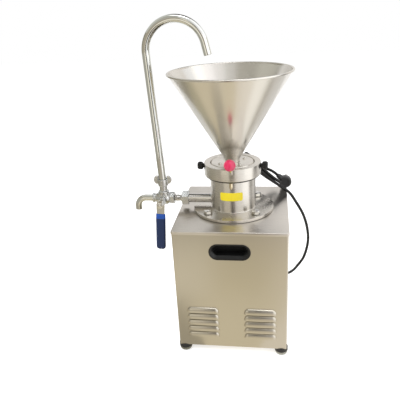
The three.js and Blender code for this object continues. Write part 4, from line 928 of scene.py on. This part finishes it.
def make_valve():
    """A casting of a run along the outlet with a hexagon, a branch up and a boss for the stem."""
    end, barrel = 27, 15.5
    run = lathe([
        (0, -end), (10.2, -end, 0.8), (10.2, -19, 1), (12, -17, 1), (barrel, -9, 3), (barrel, 9, 3),
        (12, 14, 1), (12, 26), (0, 26),
    ], 64)
    run.transform(ALONG_X)
    collar = lathe([(0, -end), (11.6, -end, 1), (11.6, -22.5, 1), (0, -22.5)], 64)
    collar.transform(ALONG_X)
    branch = lathe([
        (0, 0), (12, 0), (13, 14, 1), (13, 18, 1), (9.3, 20, 1), (9.3, 31, 0.5), (8, 31), (8, 40, 0.5),
        (0, 40),
    ], 64)
    boss = lathe([(0, 0), (9, 0), (9, 28, 0.8), (0, 28)], 64)
    boss.transform(TO_FRONT)
    hexagon = hex_prism(27, 15, 26, both_ends=True)
    hexagon.transform(HEX_UP)
    body = cast(merged(run, collar, branch, boss, hexagon), voxel=0.45)
    add("valve_casting", body, "cabinet", CAST, ["valve_body"], VALVE, sharp=60)
    packing = hex_prism(14, 27, 37, both_ends=True, bore=4.6)
    add("packing_nut", packing, "cabinet", FASTENER, (), VALVE @ TO_FRONT)


def make_sleeve():
    """A dipped vinyl sleeve with a flat oblong section, a round low end and a sloping shoulder."""
    middle = -LEVER_FACE - LEVER_THICKNESS / 2
    top, low, shoulder = -23.5, -115.5, -35
    width, depth = 22.6, 8.6
    end_width, end_depth, end_steps = 7, 2.6, 8

    def ring(z, narrower, thinner):
        across, through = width - 2 * narrower, depth - 2 * thinner
        outline = rounded_rect(across, through, min(across, through) / 2 - 0.15, 6)
        return [(x, y + middle, z) for x, y in outline]

    rings = []
    for i in range(end_steps + 1):
        swing = math.radians(90 * i / end_steps)
        short = 1 - math.sin(swing)
        rings.append(ring(low + end_width * (1 - math.cos(swing)), end_width * short, end_depth * short))
    rings += [ring(shoulder - 1, 0, 0), ring(shoulder, 0.15, 0.1)]
    add("sleeve_grip", loft(rings), "valve_handle", BLUE, ["lever_sleeve"], LEVER, sharp=60)
    # The shoulder takes the lighter blue, a painted highlight on the sleeve's top.
    rings = [
        ring(shoulder - 2, 0.6, 0.6), ring(shoulder, 0.15, 0.1), ring(shoulder + 0.6, 0, 0),
        ring(top - 1.2, 0.5, 1.5), ring(top - 0.4, 0.7, 1.8), ring(top, 1.1, 2.2), ring(top - 3, 1.1, 2.2),
    ]
    add("sleeve_shoulder", loft(rings), "valve_handle", PAINTED_HIGHLIGHT_BLUE, (), LEVER, sharp=60)


def make_lever_nut():
    place = LEVER @ TO_FRONT
    nut = hex_prism(13, LEVER_FACE + LEVER_THICKNESS + GAP, 50.1, bore=4.3)
    add("handle_nut", nut, "valve_handle", FASTENER, ["lever_nut"], place)
    end = lathe([(0, 44), (4, 44), (4, 50.6, 0.8), (0, 51.2)], 32)
    add("stem_end", end, "valve_handle", FASTENER, (), place)


def make_spout():
    radius, bore, bend, mouth_x, mouth_z = 7.75, 6.15, 20, -64.4, -29.2
    stations = [
        Vector((-19, 0, 0)),
        Vector((-40.4, 0, 0)),
        *arc(mouth_x + bend, -bend, bend, math.pi / 2, math.pi, 20),
        Vector((mouth_x, 0, -bend - 3)),
        Vector((mouth_x, 0, mouth_z + 0.5)),
        Vector((mouth_x, 0, mouth_z)),
    ]
    radii = [radius] * (len(stations) - 1) + [radius - 0.45]
    add("spout_tube", sweep(stations, radii, 48, bore), "cabinet", TUBE, ["spout"], VALVE)


def make_wing_nut():
    bottom, top, hub_radius, bore, seat, half = 31.3, 48, 12, 9.4, 8.3, 3
    hub = lathe([
        (seat, bottom), (hub_radius - 1, bottom), (hub_radius, bottom + 2, 0.5), (hub_radius, top, 0.8),
        (bore, top), (bore, 40), (seat, 40),
    ], 64)
    wing_x, wing_z, wing_width, wing_height, root = 13.4, 45.8, 7.8, 10.2, 9.9
    outline = []
    for angle in round_angles(40):
        x = wing_x + wing_width * math.cos(angle)
        outline.append((max(x, root), wing_z + wing_height * math.sin(angle)))
    wings = []
    for turn in (0, 180):
        wing = loft([[(x, y, z) for x, y in outline] for z in (-half, half)])
        rims = []
        for edge in wing.edges:
            first, second = edge.verts
            if first.co.z == second.co.z:
                rims.append(edge)
        bmesh.ops.bevel(wing, geom=rims, offset=1.4, segments=3, profile=0.5, affect="EDGES")
        wing.transform(turned_by(turn, "Z") @ TO_FRONT)
        wings.append(wing)
    body = cast(merged(hub, *wings), voxel=0.4)
    add("wing_nut_casting", body, "wing", CAST, ["wing_nut"], VALVE, sharp=60)


def make_return_pipe():
    """A straight pipe that leans so as to meet its own bend."""
    centre_x, centre_z, bend_radius = 51.5, 334.5, 64.2
    pipe_radius, pipe_bore = 8.6, 7.1
    foot = Vector((0, 0, 40.8))
    across, up = centre_x, centre_z - foot.z
    lean = math.asin(bend_radius / math.hypot(across, up)) - math.atan2(across, up)
    opening = math.radians(13)
    ending = Vector((math.sin(opening), 0, -math.cos(opening)))
    bend = arc(centre_x, centre_z, bend_radius, math.pi + lean, opening, 64)
    rise = bend[0] - foot
    stations = [foot, foot + rise * 0.002, *(foot + rise * i / 12 for i in range(1, 12)), *bend]
    stations += [bend[-1] + ending * reach for reach in (5, 25.4, 26)]
    radii = [pipe_radius - 0.4] + [pipe_radius] * (len(stations) - 2) + [pipe_radius - 0.4]
    tube = sweep(stations, radii, 64, pipe_bore)
    add("gooseneck_tube", tube, "gooseneck", TUBE, ["return_pipe"], VALVE)


# Cabinet


def make_lid():
    """A folded sheet whose lip turns down over the cabinet."""
    width, depth, corner = 252, 269, 4.5
    fold, lip_low, sheet = 1.8, 309, 1.2
    fold_start = CABINET_TOP - fold
    stations = [(sheet, 314.6), (sheet, lip_low), (0.1, lip_low), (0, lip_low + 0.2), (0, fold_start)]
    for i in range(1, 7):
        angle = math.radians(15 * i)
        stations.append((fold * (1 - math.cos(angle)), fold_start + fold * math.sin(angle)))
    lid = stepped(width, depth, corner, 8, stations)
    add("lid_sheet", lid, "cabinet", LID, ["cabinet_top"])


def make_grip(name, node, place):
    """A black recess with a rolled rim on the sheet's face, as (inset, height) stations."""
    width, height = 91, 38
    cup = stepped(width, height, height / 2 - 0.001, 12, [
        (3.2, -26), (3.2, 0), (0.3, 0), (0, 0.4), (0, 1), (0.4, 1.7), (1.2, 2), (2.2, 1.6), (8.4, -4.6),
        (8.9, -5.4), (9, -7), (9, -24.4),
    ])
    add(name, cup, "cabinet", BLACK, [node], place, sharp=28)


def louvre_hood():
    """A pressed hood on a panel whose face is at Y = 0, open below, with rounded ends."""
    flat, end, height, depth, sheet, thinnest = 27, 9.5, 12.8, 6.2, 0.8, 0.02
    columns = []
    for side, swings in ((-1, range(90, -1, -15)), (1, range(0, 91, 15))):
        for degrees in swings:
            swing = math.radians(degrees)
            columns.append((side * (flat + end * math.sin(swing)), max(math.cos(swing), thinnest)))
    steps = 8
    bm = bmesh.new()
    skins = []
    for inset in (0, sheet):
        skin = []
        for across, size in columns:
            column = []
            for k in range(steps + 1):
                rise = math.radians(90 * k / steps)
                reach = max(depth * size * math.cos(rise) - inset, 0)
                z = max(height * size * math.sin(rise) - inset * (k > 0), -0.2)
                column.append(bm.verts.new((across, -reach, z)))
            skin.append(column)
        skins.append(skin)
        for left, right in zip(skin, skin[1:]):
            strip(bm, left, right)
    strip(bm, *([column[0] for column in skin] for skin in skins))
    bmesh.ops.recalc_face_normals(bm, faces=bm.faces)
    return bm


def make_louvres():
    from_middle, lowest, pitch, rows = 65, 46, 16.5, 5
    for name, outer_face, turn in (("front", FRONT_FACE, 0), ("back", -BACK_FACE, 180)):
        hoods = []
        for side in (-1, 1):
            for row in range(rows):
                hood = louvre_hood()
                place = at(side * from_middle, outer_face, lowest + pitch * row)
                hood.transform(turned_by(turn, "Z") @ place)
                hoods.append(hood)
        add("louvres_" + name, merged(*hoods), "cabinet", SHEET_REFLECTION_TINTED, sharp=60)


def make_feet():
    """Each foot is a rubber pad in a steel cup. The black pad standing above the cup is also painted shade,
    for the shadow under the cabinet.
    """
    from_middle, from_centre = 112.5, 121
    for corner, side, end in (
        ("front_left", -1, -1), ("front_right", 1, -1), ("back_right", 1, 1), ("back_left", -1, 1),
    ):
        place = at(side * from_middle, end * from_centre, 0)
        pad = lathe([
            (0, 0), (10.5, 0, 0.6), (11.4, 0.9, 0.4), (11.4, 2), (13.2, 8.5), (15, 8.5, 0.8), (15, 18, 1),
            (0, 18),
        ], 64)
        add("foot_pad_" + corner, pad, "cabinet", RUBBER_AND_SHADE, ["foot_" + corner], place)
        cup = lathe([
            (11.5, 1.2), (12.6, 1.2, 0.5), (14.2, 4, 1.5), (15.1, 9.2, 0.5), (14.3, 9.6, 0.3), (13.3, 8.6),
            (11.5, 2),
        ], 64)
        add("foot_cup_" + corner, cup, "cabinet", FOOT_STEEL, (), place)


# Studio

# What the polished steel reflects, tier by tier: a profile of (reach, height) points in metres, and its
# stretches between two bearings in degrees with their levels. A bearing of 0 is the front and 90 the right.
STUDIO_CARDS = {
    "floor_near": (((0.05, 0.002), (0.38, 0.002)), (
        (-150, -116, (0.92, 0.92, 0.9)), (-116, -88, (0.56, 0.52, 0.38)), (-88, -66, (0.79, 0.71, 0.52)),
        (-66, -58, (0.82, 0.74, 0.55)), (-58, -24, (0.5, 0.455, 0.36)), (-24, 22, (0.85, 0.77, 0.59)),
        (22, 40, (0.98, 0.91, 0.8)), (40, 66, (1.03, 0.97, 0.87)), (66, 97, (1.25, 1.23, 1.17)),
        (97, 140, (0.82, 0.8, 0.76)),
    )),
    "floor_far": (((0.38, 0.002), (0.72, 0.002)), (
        (-150, -116, (0.92, 0.92, 0.9)), (-116, -88, (0.54, 0.5, 0.36)), (-88, -30, (0.8, 0.72, 0.54)),
        (-30, -11, (0.95, 0.88, 0.73)), (-11, 11, (0.73, 0.65, 0.46)), (11, 22, (0.86, 0.78, 0.63)),
        (22, 66, (1, 0.94, 0.84)), (66, 97, (1.25, 1.23, 1.17)), (97, 103, (1.05, 1, 0.9)),
        (103, 113, (0.4, 0.38, 0.33)), (113, 140, (0.82, 0.8, 0.76)),
    )),
    "low": (((0.72, 0.002), (0.86, 0.002), (0.86, 0.2)), (
        (-160, -121, (0.85, 0.85, 0.83)), (-121, -65, (0.38, 0.355, 0.275)), (-65, -45, (0.5, 0.45, 0.37)),
        (-45, -28, (0.5, 0.445, 0.37)), (-28, -17, (0.5, 0.46, 0.37)), (-17, -9, (0.58, 0.53, 0.44)),
        (-9, 5, (0.4, 0.36, 0.32)), (5, 13, (0.62, 0.55, 0.5)), (13, 24, (0.88, 0.82, 0.76)),
        (24, 38, (1.15, 1.12, 1.1)), (38, 50, (1.35, 1.35, 1.35)), (50, 88, (1.6, 1.6, 1.6)),
        (88, 125, (0.78, 0.76, 0.73)), (125, 165, (0.85, 0.84, 0.82)),
    )),
    "middle": (((0.86, 0.2), (0.86, 0.6)), (
        (-125, -70, (0.48, 0.46, 0.4)), (-70, -40, (0.49, 0.48, 0.43)), (-40, -9, (1.1, 1.04, 0.9)),
        (-9, 13, (0.03, 0.03, 0.03)), (13, 50, (1.1, 1.1, 1.1)), (50, 88, (1.5, 1.5, 1.5)),
        (88, 94, (0.9, 0.9, 0.9)), (94, 112, (0.02, 0.02, 0.02)), (112, 130, (0.8, 0.8, 0.8)),
    )),
    "upper": (((0.86, 0.6), (0.86, 1)), (
        (-125, -90, (0.32, 0.3, 0.24)), (-90, -70, (0.45, 0.42, 0.34)), (-70, -13, (0.5, 0.445, 0.36)),
        (-13, -7, (1.1, 1.02, 0.86)), (-7, 8, (0.16, 0.15, 0.14)), (8, 24, (0.98, 0.9, 0.88)),
        (24, 97, (1.7, 1.7, 1.65)), (97, 108, (0.35, 0.34, 0.32)), (108, 135, (0.95, 0.9, 0.84)),
    )),
    "high": (((0.86, 1), (0.86, 2.7)), (
        (-150, -118, (0.73, 0.75, 0.73)), (-118, -67, (0.69, 0.69, 0.63)), (-67, -12, (0.54, 0.53, 0.48)),
        (-12, 18, (0.8, 0.8, 0.78)), (18, 48, (1.1, 1.1, 1.12)), (48, 75, (1.42, 1.42, 1.48)),
        (75, 100, (1.75, 1.75, 1.75)), (100, 125, (1.2, 1.24, 1.3)),
    )),
    "behind": (((0.86, 0), (0.86, 0.33)), ((165, 200, (0.3, 0.28, 0.26)),)),
    "behind_high": (((0.86, 0.5), (0.86, 1.1)), (
        (138, 165, (1.08, 1.07, 1.05)), (165, 195, (0.95, 0.93, 0.91)),
    )),
    "behind_left": (((0.86, 0.45), (0.86, 1)), ((-164, -140, (0.8, 0.79, 0.77)),)),
    "ceiling": (((0.86, 1.2), (0.86, 2.1), (0.5, 2.6)), ((145, 215, (0.06, 0.06, 0.06)),)),
    "crown": (((0.2, 2.7), (0.8, 2.7)), (
        (-70, -8, (2.8, 2.8, 2.8)), (-8, 70, (5, 5, 5)),
    )),
}

# Area lights: place, size and power
LAMPS = {
    "key": ((-1.1, -1.1, 1.7), 0.9, 20),
    "fill": ((1.5, -0.9, 1.2), 1.0, 8),
    "top": ((0.0, 0.3, 2.0), 1.2, 14),
}
LAMP_AIM = Vector((0.03, 0, 0.3))
FLOOR_SIZE = 12
FLOOR_Z = -0.0005
FLOOR_GLOW = 0.58
SKY_INDIRECT = 0.55  # how bright the white sky is for diffuse light


def glowing(name, colour, strength):
    material, tree = empty_material(name)
    glow = new_node(tree, "Emission", {"Color": (*colour, 1), "Strength": strength})
    new_node(tree, "OutputMaterial", {"Surface": glow.outputs[0]})
    return material


def make_card(name, start, end, profile, level):
    """A curved card that only polished metal sees."""
    bm = bmesh.new()
    columns = []
    steps = max(2, round((end - start) / 5))
    for i in range(steps + 1):
        bearing = math.radians(start + (end - start) * i / steps)
        column = []
        for reach, height in profile:
            x = AXIS_X / 1000 + reach * math.sin(bearing)
            column.append(bm.verts.new((x, -reach * math.cos(bearing), height)))
        columns.append(column)
    for left, right in zip(columns, columns[1:]):
        strip(bm, left, right)
    strength = max(1, *level)
    obj = new_object(name, bm, glowing(name, [value / strength for value in level], strength))
    obj.visible_camera = False
    obj.visible_diffuse = False
    obj.visible_shadow = False
    obj.visible_transmission = False


def math_node(tree, operation, first, second):
    node = new_node(tree, "Math", {0: first, 1: second})
    node.operation = operation
    return node.outputs[0]


def seen_directly(tree):
    """1 for what the camera sees itself, or in gloss or glass."""
    rays = new_node(tree, "LightPath", {}).outputs
    seen = math_node(tree, "MAXIMUM", rays["Is Camera Ray"], rays["Is Glossy Ray"])
    return math_node(tree, "MAXIMUM", seen, rays["Is Transmission Ray"])


def make_sky():
    world = bpy.data.worlds.new("studio")
    bpy.context.scene.world = world
    world.use_nodes = True
    tree = world.node_tree
    level = new_node(tree, "MapRange", {"Value": seen_directly(tree), "To Min": SKY_INDIRECT, "To Max": 1})
    feed(tree, tree.nodes["Background"], {"Color": (1, 1, 1, 1), "Strength": level.outputs["Result"]})


def make_floor():
    """A white floor that glows a little where it is seen, so that only soft shadows mark it."""
    material, tree = empty_material("floor")
    diffuse = new_node(tree, "BsdfDiffuse", {"Color": (0.8, 0.8, 0.8, 1)})
    lift = math_node(tree, "MULTIPLY", seen_directly(tree), FLOOR_GLOW)
    glow = new_node(tree, "Emission", {"Strength": lift})
    both = new_node(tree, "AddShader", {0: diffuse.outputs[0], 1: glow.outputs[0]})
    new_node(tree, "OutputMaterial", {"Surface": both.outputs[0]})
    bm = bmesh.new()
    place = Matrix.Translation((0, 0, FLOOR_Z))
    bmesh.ops.create_grid(bm, x_segments=1, y_segments=1, size=FLOOR_SIZE / 2, matrix=place)
    new_object("floor", bm, material)


def make_lamps():
    for name, (place, size, power) in LAMPS.items():
        data = bpy.data.lights.new(name, "AREA")
        data.size = size
        data.energy = power
        lamp = bpy.data.objects.new(name, data)
        bpy.context.scene.collection.objects.link(lamp)
        lamp.location = place
        lamp.visible_glossy = False
        lamp.rotation_mode = "QUATERNION"
        lamp.rotation_quaternion = (LAMP_AIM - lamp.location).to_track_quat("-Z", "Y")


def make_studio():
    bpy.context.scene.view_settings.view_transform = "Standard"
    make_sky()
    make_floor()
    make_lamps()
    for tier, (profile, stretches) in STUDIO_CARDS.items():
        for start, end, level in stretches:
            make_card("card_" + tier + "_" + str(start % 360), start, end, profile, level)


place_camera()
dress_cad_nodes()
make_lead()
make_hopper()
make_barrel()
make_outlet()
make_flange_bolts()
make_ring()
make_carrier()
make_ring_lever()
make_locking_knobs()
make_label()
make_pointer()
make_union()
make_valve()
make_sleeve()
make_lever_nut()
make_spout()
make_wing_nut()
make_return_pipe()
make_lid()
make_grip("grip_front", "front_grip", at(0, FRONT_FACE, GRIP_Z) @ TO_FRONT)
make_grip("grip_back", "back_grip", at(0, BACK_FACE, GRIP_Z) @ TO_BACK)
make_louvres()
make_feet()
make_studio()
